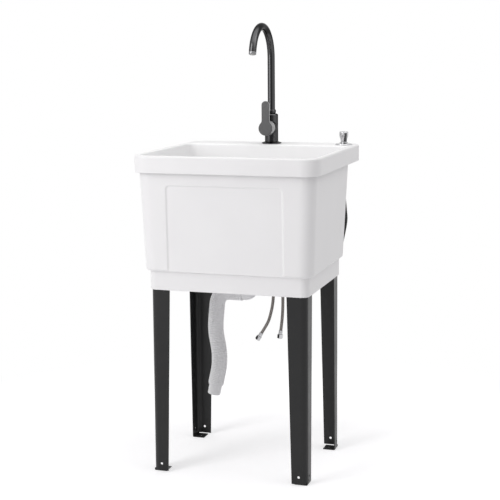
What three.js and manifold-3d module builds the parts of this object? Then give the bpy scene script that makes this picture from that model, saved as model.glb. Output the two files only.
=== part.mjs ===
// A free-standing utility laundry sink: a moulded tub on four steel angle legs, with a
// single-lever gooseneck faucet, a side sprayer, a basket strainer and a flexible drain.
// Millimetres, +Z up, +Y to the wall. The origin is on the floor under the middle of the rim.
import * as THREE from "three";
import { mergeVertices } from "three/addons/utils/BufferGeometryUtils.js";
import Module from "manifold-3d";

const wasm = await Module();
wasm.setup();

// ---------------------------------------------------------------- driving dimensions

const GAP = 0.3; // seat clearance between two pieces that touch
const SIDES = 20; // facets round a large turned piece
const SMALL_SIDES = 16; // facets round a small turned piece

// Tub: rim and apron
const RIM_WIDTH = 508;
const RIM_DEPTH = 506;
const RIM_HEIGHT = 864;
const RIM_CORNER = 45;
const RIM_EDGE = 5; // roll of the rim's top edge
const APRON_DROP = 46;
const APRON_WALL = 4.5;
const DECK_THICKNESS = 5;
const DECK_DEPTH = 93; // basin's back wall to the rim's back edge

// Tub: basin
const RIM_OVERHANG = 10; // apron stands this far out from the basin's outer wall
const BASIN_WALL = 5;
const BASIN_CORNER = 36;
const BASIN_BACK_CORNER = 30;
const BASIN_DEPTH = 314; // rim top to basin floor
const BASIN_FLOOR = 6;
const BASIN_FILLET = 22; // wall to floor, inside
const BASIN_LIP = 5; // roll of the basin's mouth
const SIDE_TAPER = 12; // how far each side and the front lean in
const BACK_TAPER = 22; // how far the back wall leans in
const BODY_UNDERCUT = 9; // rounded edge under the body, above the skirt
const UNDERCUT_SQUASH = 0.9; // that edge's reach inward, as a share of its height
const PANEL_WIDTH = 320;
const PANEL_TOP = 787;
const PANEL_RECESS = 2.5;
const PANEL_CORNER = 12;
const PANEL_SLOPE = 4; // width of the panel's sloping edge

// Tub: skirt and leg sockets
const SKIRT_SETBACK = 12; // skirt behind the body's lower edge, front and sides
const SKIRT_BACK_SETBACK = 2.5;
const SKIRT_HEIGHT = 51;
const SKIRT_WALL = 3.5;
const SKIRT_CORNER = 22;
const SOCKET_RIB = 3;
const DECK_RIB = 3;
const DECK_RIB_DROP = 28;
const DECK_RIB_XS = [-150, -70, 70, 150];

// Legs
const LEG_SETBACK = 4.5; // leg's outer faces behind the skirt's
const LEG_STEEL = 2;
const LEG_BEND = 17; // outer radius of the angle's bend
const LEG_WEB_FOOT = 42;
const LEG_WEB_TOP = 55;
const LEG_LIFT = 3; // web's lower edge above the floor
const FOOT_LENGTH = 35;
const FOOT_SLIT = 6;
const WEB_HOLE = 3.4;
const WEB_HOLE_HEIGHT = 22;
const WEB_HOLE_INSET = 23;
const LOCATING_HOLE = 2;
const LOCATING_HOLE_HEIGHT = 11;
const LOCATING_HOLE_INSET = 19;

// Faucet
const FAUCET_X = 0;
const FAUCET_INSET = 57; // faucet's axis in front of the rim's back edge
const FAUCET_Y = RIM_DEPTH / 2 - FAUCET_INSET;
const FAUCET_HOLE = 17.5;
const SHANK_RADIUS = 16;
const SHANK_BORE = 13;
const SHANK_LENGTH = 66;
const SHANK_NUT_RADIUS = 24;
const SHANK_NUT_HEIGHT = 12;
const WASHER_THICKNESS = 3;
const PLATE_RADIUS = 29;
const PLATE_HEIGHT = 4;
const BODY_RADIUS = 19.2;
const BODY_HEIGHT = 82.5; // deck to the body's shoulder
const SHOULDER_HEIGHT = 4;
const HOSE_BORE_TOP = 16;
const COLLAR_RADIUS = 13.3;
const COLLAR_HEIGHT = 11;

// Spout
const SPOUT_RADIUS = 10.6;
const SPOUT_BORE = 8.6;
const SPOUT_RISE = 245; // deck to the start of the bend
const SPOUT_BEND = 88.6;
const SPOUT_SWEEP = THREE.MathUtils.degToRad(166);
const SPOUT_STEPS = 16;
const SPIGOT_RADIUS = 9.2;
const SPIGOT_BORE = 6;
const SPIGOT_LENGTH = 46;
const RING_SECTION = 1.3;
const RING_HEIGHTS = [50, 62]; // seal grooves, above the deck
const AERATOR_LENGTH = 8;
const AERATOR_SCREEN = 6.8;

// Handle, along the hub's axis from the faucet's axis
const HUB_HEIGHT = 47;
const HUB_RADIUS = 20.6;
const HUB_FACE = 61;
const BOSS_RADIUS = 19.6;
const BOSS_FACE = 29;
const CARTRIDGE_RADIUS = 17.2;
const CARTRIDGE_BACK = 11.2;
const CARTRIDGE_FRONT = 25;
const TURRET_RADIUS = 8.5;
const PIVOT = 33;
const DOME_RADIUS = 16.5;
const DOME_WALL = 2.5;
const DOME_MOUTH = 10.5;
const HANDLE_BORE = 17.2;
const REAR_SLOPE = 0.176; // slant of the hub's rear edge, so that it clears the boss when tilted
const STEM_WIDTH = 7;
const STEM_LENGTH = 29;
const PIN_RADIUS = 1.5;
const SCREW_RADIUS = 1.8;
const SCREW_PLACE = 52;
const LEVER_HALF_WIDTH = 11.3;
const LEVER_TIP = 77.5;
const LEVER_THICKNESS = 7;
const LEVER_FILLET = 14;

// Side sprayer
const SPRAYER_INSET = 40; // sprayer's axis inside the rim's right edge
const SPRAYER_X = RIM_WIDTH / 2 - SPRAYER_INSET;
const SPRAYER_Y = FAUCET_Y;
const SPRAYER_TURN = THREE.MathUtils.degToRad(38);
const SPRAYER_HOLE = 14.2;
const HOLDER_FLANGE = 24.5;
const HOLDER_TUBE = 13.5;
const HOLDER_BORE = 10.3;
const HOLDER_DROP = 34;
const HOLDER_TOP = 4.8;
const GRIP_RADIUS = 9.2;
const NECK_RADIUS = 8.9;
const HEAD_RADIUS = 12.8;
const HEAD_TOP = 37.3;
const GRIP_DROP = 48;
const SPRAYER_BORE = 4;
const FACE_RADIUS = 9.2;
const TRIGGER_WIDTH = 7;
const TRIGGER_TOP = 33;
const TRIGGER_FOOT = 9;
const TRIGGER_PIVOT = 30;
const TRIGGER_REACH = 10.2; // pivot, out from the sprayer's axis
const COUPLING_LENGTH = 14;
const COUPLING_RADIUS = 8.5;

// Strainer and drain
const DRAIN_X = 0;
const DRAIN_Y = 0;
const DISH_RADIUS = 110;
const DISH_DEPTH = 2.5;
const FLANGE_RADIUS = 43;
const FLANGE_THICKNESS = 2;
const SEAT_DEPTH = 5; // flange's seat below the basin floor
const DRAIN_HOLE = 32;
const CUP_RADIUS = 31;
const CUP_WALL = 2;
const CUP_DEPTH = 34;
const THROAT_RADIUS = 30; // inner edge of the flange's bevel
const TAIL_RADIUS = 20;
const TAIL_LENGTH = 30;
const DRAIN_BOSS_RADIUS = 50;
const DRAIN_BOSS_DROP = 8;
const LOCK_NUT_RADIUS = 46;
const LOCK_NUT_HEIGHT = 11;
const BASKET_RADIUS = 26;
const BASKET_LIP = 34;
const BASKET_DEPTH = 24;
const BASKET_WALL = 1.5;
const KNOB_RADIUS = 9;
const KNOB_RISE = 12; // knob's top above the flange
const ELBOW_RADIUS = 20;
const ELBOW_DROP = 84; // flange's seat to the elbow's level axis
const ELBOW_REACH = 26;
const SOCKET_RADIUS = 25;
const SOCKET_DEPTH = 25;
const SLIP_NUT_RADIUS = 31;
const SLIP_NUT_HEIGHT = 22;
const NIPPLE_RADIUS = 16.5;
const NIPPLE_LENGTH = 20;

// Ribbed drain hose
const HOSE_CREST = 22;
const HOSE_ROOT = 20.3;
const HOSE_BORE = 18.2;
const HOSE_SIDES = 10;
const RIB_PITCH = 5;
const CUFF_RADIUS = 18;
const CUFF_WALL = 2.5;
const CUFF_LENGTH = 30;

// Supply hoses and sprayer hose
const SUPPLY_RADIUS = 4.5;
const SPRAY_HOSE_RADIUS = 4;
const HOSE_CIRCLE = 7.5; // circle on which the three hoses enter the shank
const HOSE_PORT_DROP = 74; // deck to where they start to spread below the shank
const END_NUT_RADIUS = 8.5;
const END_NUT_LENGTH = 13;
const FERRULE_RADIUS = 6;
const FERRULE_LENGTH = 12;

// ---------------------------------------------------------------- places worked out from them

const rim = {
  x0: -RIM_WIDTH / 2,
  x1: RIM_WIDTH / 2,
  y0: -RIM_DEPTH / 2,
  y1: RIM_DEPTH / 2,
  front: RIM_CORNER,
  back: RIM_CORNER,
};
const basinTop = {
  x0: rim.x0 + RIM_OVERHANG,
  x1: rim.x1 - RIM_OVERHANG,
  y0: rim.y0 + RIM_OVERHANG,
  y1: rim.y1 - DECK_DEPTH,
  front: BASIN_CORNER,
  back: BASIN_BACK_CORNER,
};
const basinFoot = {
  x0: basinTop.x0 + SIDE_TAPER,
  x1: basinTop.x1 - SIDE_TAPER,
  y0: basinTop.y0 + SIDE_TAPER,
  y1: basinTop.y1 - BACK_TAPER,
  front: BASIN_CORNER,
  back: BASIN_BACK_CORNER,
};
const skirt = {
  x0: basinFoot.x0 + SKIRT_SETBACK,
  x1: basinFoot.x1 - SKIRT_SETBACK,
  y0: basinFoot.y0 + SKIRT_SETBACK,
  y1: basinFoot.y1 - SKIRT_BACK_SETBACK,
  front: SKIRT_CORNER,
  back: SKIRT_CORNER,
};
const floorTop = RIM_HEIGHT - BASIN_DEPTH;
const floorUnder = floorTop - BASIN_FLOOR;
const deckUnder = RIM_HEIGHT - DECK_THICKNESS;
const apronFoot = RIM_HEIGHT - APRON_DROP;
const skirtTop = floorTop + 4;
const skirtFoot = skirtTop - SKIRT_HEIGHT;
const bodyFoot = skirtTop + BODY_UNDERCUT;
const legTop = floorUnder - GAP;
const flangeSeat = floorTop - SEAT_DEPTH;
const drainBossFoot = floorUnder - DRAIN_BOSS_DROP;

// ---------------------------------------------------------------- materials

function finish(color, roughness, metalness) {
  return () => new THREE.MeshStandardMaterial({ color, roughness, metalness });
}
const whitePlastic = finish(0xeae9ea, 0.4, 0);
const blackSteel = finish(0x2f2f31, 0.5, 0.4);
const blackGloss = finish(0x29292a, 0.22, 0.5);
const blackSatin = finish(0x626364, 0.42, 0.5);
const chrome = finish(0xd2d3d5, 0.12, 1);
const steel = finish(0xa9a9aa, 0.35, 0.9);
const brass = finish(0xb08a4e, 0.35, 0.9);
const rubber = finish(0x1d1d1e, 0.85, 0);
const greyPlastic = finish(0xc2c3c5, 0.5, 0);
const acetal = finish(0xdcdad4, 0.55, 0);
const braid = finish(0x8a8480, 0.45, 0.7);
const blackHose = finish(0x202021, 0.6, 0);

// ---------------------------------------------------------------- solids

// A closed geometry as a solid, with its faces turned outward.
function solid(geometry) {
  const bare = geometry.index ? geometry.toNonIndexed() : geometry.clone();
  bare.deleteAttribute("normal");
  bare.deleteAttribute("uv");
  const merged = mergeVertices(bare, 1e-4);
  const vertProperties = Float32Array.from(merged.attributes.position.array);
  const kept = [];
  const index = merged.index.array;
  for (let i = 0; i < index.length; i += 3) {
    const [a, b, c] = [index[i], index[i + 1], index[i + 2]];
    if (a !== b && b !== c && c !== a) kept.push(a, b, c);
  }
  const build = (triVerts) =>
    new wasm.Manifold(new wasm.Mesh({ numProp: 3, vertProperties, triVerts }));
  const made = build(Uint32Array.from(kept));
  return made.volume() < 0 ? build(Uint32Array.from(kept.reverse())) : made;
}

function join(first, ...others) {
  return others.reduce((body, other) => body.add(other), first);
}

function carve(body, ...tools) {
  return tools.reduce((left, tool) => left.subtract(tool), body);
}

function piece(name, body, material) {
  const shape = body.getMesh();
  const points = new Float32Array(shape.numVert * 3);
  for (let i = 0; i < shape.numVert; i++) {
    const start = i * shape.numProp;
    points.set(shape.vertProperties.subarray(start, start + 3), i * 3);
  }
  const geometry = new THREE.BufferGeometry();
  geometry.setAttribute("position", new THREE.BufferAttribute(points, 3));
  geometry.setIndex(new THREE.BufferAttribute(shape.triVerts, 1));
  geometry.computeVertexNormals();
  const made = new THREE.Mesh(geometry, material());
  made.name = name;
  return made;
}

function box(x0, x1, y0, y1, z0, z1) {
  const geometry = new THREE.BoxGeometry(x1 - x0, y1 - y0, z1 - z0);
  return solid(geometry.translate((x0 + x1) / 2, (y0 + y1) / 2, (z0 + z1) / 2));
}

// A rod standing on Z at (x, y).
function rod(radius, z0, z1, sides = SMALL_SIDES, x = 0, y = 0) {
  return turned([[0, z0], [radius, z0], [radius, z1], [0, z1]], sides, x, y);
}

// A rod along X through (y, z).
function pinAlongX(radius, x0, x1, y, z, sides = 12) {
  const geometry = new THREE.CylinderGeometry(radius, radius, x1 - x0, sides);
  geometry.rotateZ(Math.PI / 2);
  return solid(geometry.translate((x0 + x1) / 2, y, z));
}

// A rod along Y through (x, z).
function pinAlongY(radius, y0, y1, x, z, sides = 12) {
  const geometry = new THREE.CylinderGeometry(radius, radius, y1 - y0, sides);
  return solid(geometry.translate(x, (y0 + y1) / 2, z));
}

// A profile of [radius, height] points turned about Z. It starts and ends on the axis.
function turned(profile, sides = SIDES, x = 0, y = 0) {
  const points = profile.map(([radius, height]) => new THREE.Vector2(radius, height));
  const geometry = new THREE.LatheGeometry(points, sides);
  geometry.rotateX(Math.PI / 2);
  return solid(geometry.translate(x, y, 0));
}

function ring(inner, outer, z0, z1, sides = SIDES) {
  return turned(
    [[inner, z0], [outer, z0], [outer, z1], [inner, z1], [inner, z0]],
    sides,
  );
}

// A nut: an outline with flats round a bore.
function nut(bore, radius, z0, z1, flats, sides = SIDES) {
  return carve(rod(radius, z0, z1, flats), rod(bore, z0 - 1, z1 + 1, sides));
}

// A skin over rings of as many points each, closed by flat ends.
function loft(rings) {
  const count = rings[0].length;
  const positions = rings.flat().flatMap((p) => [p.x, p.y, p.z]);
  const faces = [];
  for (let r = 0; r + 1 < rings.length; r++) {
    for (let i = 0; i < count; i++) {
      const j = (i + 1) % count;
      const [a, b] = [r * count + i, r * count + j];
      const [c, d] = [a + count, b + count];
      faces.push(a, b, d, a, d, c);
    }
  }
  const last = (rings.length - 1) * count;
  for (const [i, j, k] of capOf(rings[0])) faces.push(i, k, j);
  for (const [i, j, k] of capOf(rings[rings.length - 1])) {
    faces.push(last + i, last + j, last + k);
  }
  const geometry = new THREE.BufferGeometry();
  geometry.setAttribute("position", new THREE.Float32BufferAttribute(positions, 3));
  geometry.setIndex(faces);
  return solid(geometry);
}

// The triangles of a flat ring, worked out in the ring's own plane.
function capOf(points) {
  const origin = points[0];
  const normal = new THREE.Vector3();
  for (let i = 0; i < points.length; i++) {
    const next = points[(i + 1) % points.length];
    normal.add(points[i].clone().sub(origin).cross(next.clone().sub(origin)));
  }
  normal.normalize();
  const along = points[1].clone().sub(origin).normalize();
  const across = normal.clone().cross(along);
  const flat = points.map((p) => {
    const out = p.clone().sub(origin);
    return new THREE.Vector2(out.dot(along), out.dot(across));
  });
  return THREE.ShapeUtils.triangulateShape(flat, []);
}

// A rectangle with round corners at height z, pulled in all round by inset.
function outline(plan, z, inset = 0, steps = 5) {
  const corners = [
    [plan.x1, plan.y1, plan.back, 0],
    [plan.x0, plan.y1, plan.back, 1],
    [plan.x0, plan.y0, plan.front, 2],
    [plan.x1, plan.y0, plan.front, 3],
  ];
  return corners.flatMap(([x, y, corner, quarter]) => {
    const radius = Math.max(corner - inset, 2);
    const sx = Math.sign(x - (plan.x0 + plan.x1) / 2);
    const sy = Math.sign(y - (plan.y0 + plan.y1) / 2);
    const cx = x - sx * (inset + radius);
    const cy = y - sy * (inset + radius);
    return Array.from({ length: steps + 1 }, (_, i) => {
      const angle = ((quarter + i / steps) * Math.PI) / 2;
      return new THREE.Vector3(
        cx + radius * Math.cos(angle),
        cy + radius * Math.sin(angle),
        z,
      );
    });
  });
}

// The basin's outer plan at height z, leaning in from its top to its foot.
function basinPlan(z) {
  const down = (RIM_HEIGHT - z) / (RIM_HEIGHT - bodyFoot);
  const mix = (key) => basinTop[key] + (basinFoot[key] - basinTop[key]) * down;
  return {
    x0: mix("x0"),
    x1: mix("x1"),
    y0: mix("y0"),
    y1: mix("y1"),
    front: BASIN_CORNER,
    back: BASIN_BACK_CORNER,
  };
}

// ---------------------------------------------------------------- tub

function rimBlock() {
  const roll = [0, 0.3, 0.6, 0.85, 1].map((share) => {
    const drop = RIM_EDGE * (1 - share);
    const inset = RIM_EDGE - Math.sqrt(RIM_EDGE ** 2 - (RIM_EDGE - drop) ** 2);
    return outline(rim, RIM_HEIGHT - drop, inset);
  });
  const hollow = loft([
    outline(rim, apronFoot - 1, APRON_WALL),
    outline(rim, deckUnder, APRON_WALL),
  ]);
  return carve(loft([outline(rim, apronFoot), ...roll]), hollow);
}

function basinBlock() {
  const under = [1, 0.7, 0.35, 0].map((share) => {
    const angle = share * (Math.PI / 2);
    const drop = BODY_UNDERCUT * Math.sin(angle);
    const inset = BODY_UNDERCUT * (1 - Math.cos(angle)) * UNDERCUT_SQUASH;
    return outline(basinPlan(bodyFoot), bodyFoot - drop, inset);
  });
  return loft([...under, outline(basinPlan(RIM_HEIGHT - 1), RIM_HEIGHT - 1)]);
}

function skirtBlock() {
  return loft([outline(skirt, skirtFoot), outline(skirt, skirtTop + 1)]);
}

function basinHollow() {
  const fillet = [0, 1, 2, 3, 4].map((i) => {
    const angle = (i / 4) * (Math.PI / 2);
    const z = floorTop + BASIN_FILLET * (1 - Math.cos(angle));
    const inset = BASIN_FILLET * (1 - Math.sin(angle));
    return outline(basinPlan(z), z, BASIN_WALL + inset);
  });
  const lip = [0, 1, 2, 3].map((i) => {
    const angle = (i / 3) * (Math.PI / 2);
    const z = RIM_HEIGHT - BASIN_LIP * (1 - Math.sin(angle));
    const grow = BASIN_LIP * (1 - Math.cos(angle));
    return outline(basinPlan(z), z, BASIN_WALL - grow);
  });
  const over = RIM_HEIGHT + 2;
  const mouth = outline(basinPlan(RIM_HEIGHT), over, BASIN_WALL - BASIN_LIP);
  return loft([...fillet, ...lip, mouth]);
}

// The sloping-edged field that is sunk into the front wall and runs out at its foot.
function panelCut() {
  const lean = Math.atan(SIDE_TAPER / (RIM_HEIGHT - bodyFoot));
  const top = (PANEL_TOP - bodyFoot) / Math.cos(lean);
  const field = (inset, depth) => {
    const plan = {
      x0: -PANEL_WIDTH / 2 + inset,
      x1: PANEL_WIDTH / 2 - inset,
      y0: -2 * BODY_UNDERCUT,
      y1: top - inset,
      front: 2,
      back: PANEL_CORNER - inset,
    };
    return outline(plan, depth);
  };
  const cut = loft([
    field(-PANEL_SLOPE / 2, PANEL_RECESS),
    field(0, 0),
    field(PANEL_SLOPE, -PANEL_RECESS),
  ]);
  const tilt = 90 + THREE.MathUtils.radToDeg(lean);
  return cut.rotate([tilt, 0, 0]).translate([0, basinFoot.y0, bodyFoot]);
}

// Calls make(corner) for each leg: its name, and the signs of x and y.
function eachCorner(make) {
  const corners = [];
  for (const [back, sy] of [["front", -1], ["back", 1]]) {
    for (const [side, sx] of [["left", -1], ["right", 1]]) {
      corners.push(make({ name: back + "_" + side, sx, sy }));
    }
  }
  return corners;
}

// Moves a solid drawn with a leg's outer corner at the origin to its corner of the skirt.
function toCorner(body, { sx, sy }) {
  const x = sx < 0 ? skirt.x0 + LEG_SETBACK : skirt.x1 - LEG_SETBACK;
  const y = sy < 0 ? skirt.y0 + LEG_SETBACK : skirt.y1 - LEG_SETBACK;
  return body.scale([-sx, -sy, 1]).translate([x, y, 0]);
}

// Ribs inside the skirt that grip one leg's two webs from both sides.
function legSocket(corner) {
  const near = LEG_BEND + 5;
  const far = LEG_WEB_TOP - 6;
  const inner = LEG_STEEL + GAP;
  const low = skirtFoot + 4;
  const high = floorUnder + 1;
  const pad = LEG_SETBACK - SKIRT_WALL + 1;
  const ribs = join(
    box(near, far, inner, inner + SOCKET_RIB, low, high),
    box(inner, inner + SOCKET_RIB, near, far, low, high),
    box(near, near + SOCKET_RIB, -pad, -GAP, low, high),
    box(-pad, -GAP, near, near + SOCKET_RIB, low, high),
  );
  return toCorner(ribs, corner);
}

function deckRibs() {
  const back = rim.y1 - APRON_WALL + 1;
  return DECK_RIB_XS.map((x) => {
    const front = basinTop.y1 - BASIN_WALL;
    const low = deckUnder - DECK_RIB_DROP;
    return box(x - DECK_RIB / 2, x + DECK_RIB / 2, front, back, low, deckUnder + 1);
  });
}

function tubSolid() {
  const skirtHollow = loft([
    outline(skirt, skirtFoot - 1, SKIRT_WALL),
    outline(skirt, floorUnder, SKIRT_WALL),
  ]);
  const dish = turned(
    [
      [0, floorTop - DISH_DEPTH],
      [FLANGE_RADIUS + 1, floorTop - DISH_DEPTH],
      [DISH_RADIUS, floorTop],
      [DISH_RADIUS, floorTop + 1],
      [0, floorTop + 1],
    ],
    SIDES,
    DRAIN_X,
    DRAIN_Y,
  );
  const seat = rod(FLANGE_RADIUS + 1, flangeSeat, floorTop, SIDES, DRAIN_X, DRAIN_Y);
  const drainHole = rod(DRAIN_HOLE, drainBossFoot - 1, floorTop, SIDES, DRAIN_X, DRAIN_Y);
  const boss = rod(
    DRAIN_BOSS_RADIUS,
    drainBossFoot,
    floorUnder + 1,
    SIDES,
    DRAIN_X,
    DRAIN_Y,
  );
  const faucetHole = rod(
    FAUCET_HOLE,
    deckUnder - 1,
    RIM_HEIGHT + 1,
    SIDES,
    FAUCET_X,
    FAUCET_Y,
  );
  const sprayerHole = rod(
    SPRAYER_HOLE,
    deckUnder - 1,
    RIM_HEIGHT + 1,
    SIDES,
    SPRAYER_X,
    SPRAYER_Y,
  );
  const shell = join(rimBlock(), basinBlock(), skirtBlock(), ...deckRibs());
  const opened = carve(shell, skirtHollow, basinHollow(), panelCut());
  const fitted = join(opened, boss, ...eachCorner(legSocket));
  return carve(fitted, dish, seat, drainHole, faucetHole, sprayerHole);
}

// ---------------------------------------------------------------- legs

// The bent angle's section at height z, with its outer corner at the origin.
function legSection(z) {
  const web = LEG_WEB_FOOT + ((LEG_WEB_TOP - LEG_WEB_FOOT) * z) / legTop;
  const steps = 4;
  const arc = (radius, from) =>
    Array.from({ length: steps + 1 }, (_, i) => {
      const angle = Math.PI * (from + (i / steps) * (from > 1 ? -0.5 : 0.5));
      return [
        LEG_BEND + radius * Math.cos(angle),
        LEG_BEND + radius * Math.sin(angle),
      ];
    });
  const points = [
    [web, 0],
    ...arc(LEG_BEND, 1.5),
    [0, web],
    [LEG_STEEL, web],
    ...arc(LEG_BEND - LEG_STEEL, 1),
    [web, LEG_STEEL],
  ];
  return points.map(([x, y]) => new THREE.Vector3(x, y, z));
}

function legSolid(corner) {
  const angle = loft([legSection(0), legSection(legTop)]);
  const reach = LEG_WEB_FOOT + 5;
  const footGap = box(-1, reach, -1, FOOT_SLIT, -1, LEG_LIFT);
  const foot = box(0, FOOT_LENGTH, FOOT_SLIT, LEG_WEB_FOOT, 0, LEG_STEEL);
  const footHole = rod(
    WEB_HOLE,
    -1,
    LEG_STEEL + 1,
    12,
    FOOT_LENGTH - 14,
    LEG_WEB_FOOT - 15,
  );
  const webHole = pinAlongY(WEB_HOLE, -1, LEG_STEEL + 1, WEB_HOLE_INSET, WEB_HOLE_HEIGHT);
  const sideHole = pinAlongX(
    WEB_HOLE,
    -1,
    LEG_STEEL + 1,
    WEB_HOLE_INSET,
    WEB_HOLE_HEIGHT,
  );
  const locatingHole = pinAlongX(
    LOCATING_HOLE,
    -1,
    LEG_STEEL + 1,
    LOCATING_HOLE_INSET,
    LOCATING_HOLE_HEIGHT,
  );
  const bent = join(carve(angle, footGap), foot);
  return toCorner(carve(bent, footHole, webHole, sideHole, locatingHole), corner);
}

// ---------------------------------------------------------------- faucet

// Heights in this section are above the deck, and radii are round the faucet's axis.

function basePlate() {
  const z = 1 + 2 * GAP;
  const top = z + PLATE_HEIGHT;
  return turned([
    [SHANK_RADIUS + GAP, z],
    [PLATE_RADIUS, z],
    [PLATE_RADIUS - 0.8, z + 1.5],
    [BODY_RADIUS + 2.5, top - 0.6],
    [BODY_RADIUS + 1, top],
    [SHANK_RADIUS + GAP, top],
    [SHANK_RADIUS + GAP, z],
  ]);
}

function faucetBody() {
  const foot = 1 + 3 * GAP + PLATE_HEIGHT;
  const top = BODY_HEIGHT + SHOULDER_HEIGHT;
  const barrel = turned([
    [0, foot],
    [BODY_RADIUS, foot],
    [BODY_RADIUS, BODY_HEIGHT],
    [BODY_RADIUS - 2, BODY_HEIGHT + SHOULDER_HEIGHT * 0.6],
    [COLLAR_RADIUS, top],
    [0, top],
  ]);
  const boss = pinAlongY(BOSS_RADIUS, -BOSS_FACE, 0, 0, HUB_HEIGHT, SIDES);
  const cartridgeBore = pinAlongY(
    CARTRIDGE_RADIUS + GAP,
    -BOSS_FACE - 1,
    -CARTRIDGE_BACK + GAP,
    0,
    HUB_HEIGHT,
    SIDES,
  );
  const spoutBore = rod(
    SPIGOT_RADIUS + GAP,
    top - SPIGOT_LENGTH - GAP,
    top + 1,
    SMALL_SIDES,
  );
  const hoseBore = rod(SHANK_BORE, foot - 1, HOSE_BORE_TOP, SIDES);
  return carve(join(barrel, boss), cartridgeBore, spoutBore, hoseBore);
}

function faucetMounting() {
  const shankTop = 1 + 2 * GAP + PLATE_HEIGHT;
  const rubberTop = -DECK_THICKNESS - GAP;
  const rubberFoot = rubberTop - WASHER_THICKNESS;
  const plateFoot = rubberFoot - GAP - 1.5;
  const nutTop = plateFoot - GAP;
  const bore = SHANK_RADIUS + GAP;
  return [
    piece("faucet_gasket", ring(bore, PLATE_RADIUS - 2, GAP, 1 + GAP), rubber),
    piece("faucet_base_plate", basePlate(), blackGloss),
    piece(
      "faucet_shank",
      ring(SHANK_BORE, SHANK_RADIUS, shankTop - SHANK_LENGTH, shankTop),
      brass,
    ),
    piece("shank_rubber_washer", ring(bore, 26, rubberFoot, rubberTop), rubber),
    piece(
      "shank_steel_washer",
      ring(bore, 25, plateFoot, rubberFoot - GAP),
      steel,
    ),
    piece(
      "shank_nut",
      nut(bore, SHANK_NUT_RADIUS, nutTop - SHANK_NUT_HEIGHT, nutTop, 6),
      brass,
    ),
  ];
}

// The gooseneck's centre line, in the plane of the faucet's axis and its outlet.
function spoutRings(radius, foot, tail, sides) {
  const level = (z) => circleAt(new THREE.Vector3(0, 0, z), 0, radius, sides);
  const bend = Array.from({ length: SPOUT_STEPS + 1 }, (_, i) => {
    const angle = (SPOUT_SWEEP * i) / SPOUT_STEPS;
    const y = -SPOUT_BEND * (1 - Math.cos(angle));
    const z = SPOUT_RISE + SPOUT_BEND * Math.sin(angle);
    return circleAt(new THREE.Vector3(0, y, z), angle, radius, sides);
  });
  const { point, heading } = outlet();
  const end = point.clone().addScaledVector(heading, tail);
  return [level(foot), ...bend, circleAt(end, SPOUT_SWEEP, radius, sides)];
}

// A circle square to a centre line that has turned from +Z towards -Y by angle.
function circleAt(centre, angle, radius, sides) {
  return Array.from({ length: sides }, (_, i) => {
    const round = (2 * Math.PI * i) / sides;
    const out = radius * Math.sin(round);
    return new THREE.Vector3(
      centre.x + radius * Math.cos(round),
      centre.y + out * Math.cos(angle),
      centre.z + out * Math.sin(angle),
    );
  });
}

function outlet() {
  const y = -SPOUT_BEND * (1 - Math.cos(SPOUT_SWEEP));
  const z = SPOUT_RISE + SPOUT_BEND * Math.sin(SPOUT_SWEEP);
  return {
    point: new THREE.Vector3(0, y, z),
    heading: new THREE.Vector3(0, -Math.sin(SPOUT_SWEEP), Math.cos(SPOUT_SWEEP)),
  };
}

function spoutSolid() {
  const top = BODY_HEIGHT + SHOULDER_HEIGHT;
  const tube = loft(spoutRings(SPOUT_RADIUS, top + GAP, 2, SMALL_SIDES));
  const spigot = rod(SPIGOT_RADIUS, top - SPIGOT_LENGTH, top + 1);
  const bore = loft(spoutRings(SPOUT_BORE, top + 6, 4, 12));
  const spigotBore = rod(SPIGOT_BORE, top - SPIGOT_LENGTH - 1, top + 7, 12);
  const grooves = RING_HEIGHTS.map((z) =>
    ring(
      SPIGOT_RADIUS - RING_SECTION,
      SPIGOT_RADIUS + 1,
      z - RING_SECTION,
      z + RING_SECTION,
      SMALL_SIDES,
    ),
  );
  return carve(join(tube, spigot), bore, spigotBore, ...grooves);
}

function spoutCollar() {
  const foot = BODY_HEIGHT + SHOULDER_HEIGHT + GAP;
  const bore = SPOUT_RADIUS + GAP;
  const top = foot + COLLAR_HEIGHT;
  const middle = foot + COLLAR_HEIGHT / 2;
  return turned([
    [bore, foot],
    [COLLAR_RADIUS - 1.6, foot],
    [COLLAR_RADIUS - 0.4, foot + 2.4],
    [COLLAR_RADIUS, middle],
    [COLLAR_RADIUS - 0.4, top - 2.4],
    [COLLAR_RADIUS - 1.6, top],
    [bore, top],
    [bore, foot],
  ]);
}

function sealRing(z) {
  const inner = SPIGOT_RADIUS - RING_SECTION + 0.1;
  const outer = SPIGOT_RADIUS + 0.1;
  const half = RING_SECTION - GAP;
  return ring(inner, outer, z - half, z + half, SMALL_SIDES);
}

// The aerator hangs on the spout's outlet, drawn from the outlet's end along +Z.
function aeratorGroup() {
  const group = new THREE.Group();
  const { point, heading } = outlet();
  group.position.copy(point).addScaledVector(heading, 2);
  group.rotation.x = SPOUT_SWEEP;
  const threadRadius = SPOUT_BORE - 2 * GAP;
  const wall = AERATOR_SCREEN + GAP;
  const housing = turned(
    [
      [wall, -5],
      [threadRadius, -5],
      [threadRadius, GAP],
      [SPOUT_RADIUS, GAP],
      [SPOUT_RADIUS, AERATOR_LENGTH - 1],
      [SPOUT_RADIUS - 1, AERATOR_LENGTH],
      [wall, AERATOR_LENGTH],
      [wall, -5],
    ],
    SMALL_SIDES,
  );
  const screen = rod(AERATOR_SCREEN, AERATOR_LENGTH - 7, AERATOR_LENGTH - 1);
  group.add(piece("aerator_housing", housing, chrome));
  group.add(piece("aerator_screen", screen, acetal));
  return group;
}

// ---------------------------------------------------------------- handle and cartridge

// This group's +Z runs along the hub's axis towards the user, and its +Y is up.

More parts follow.
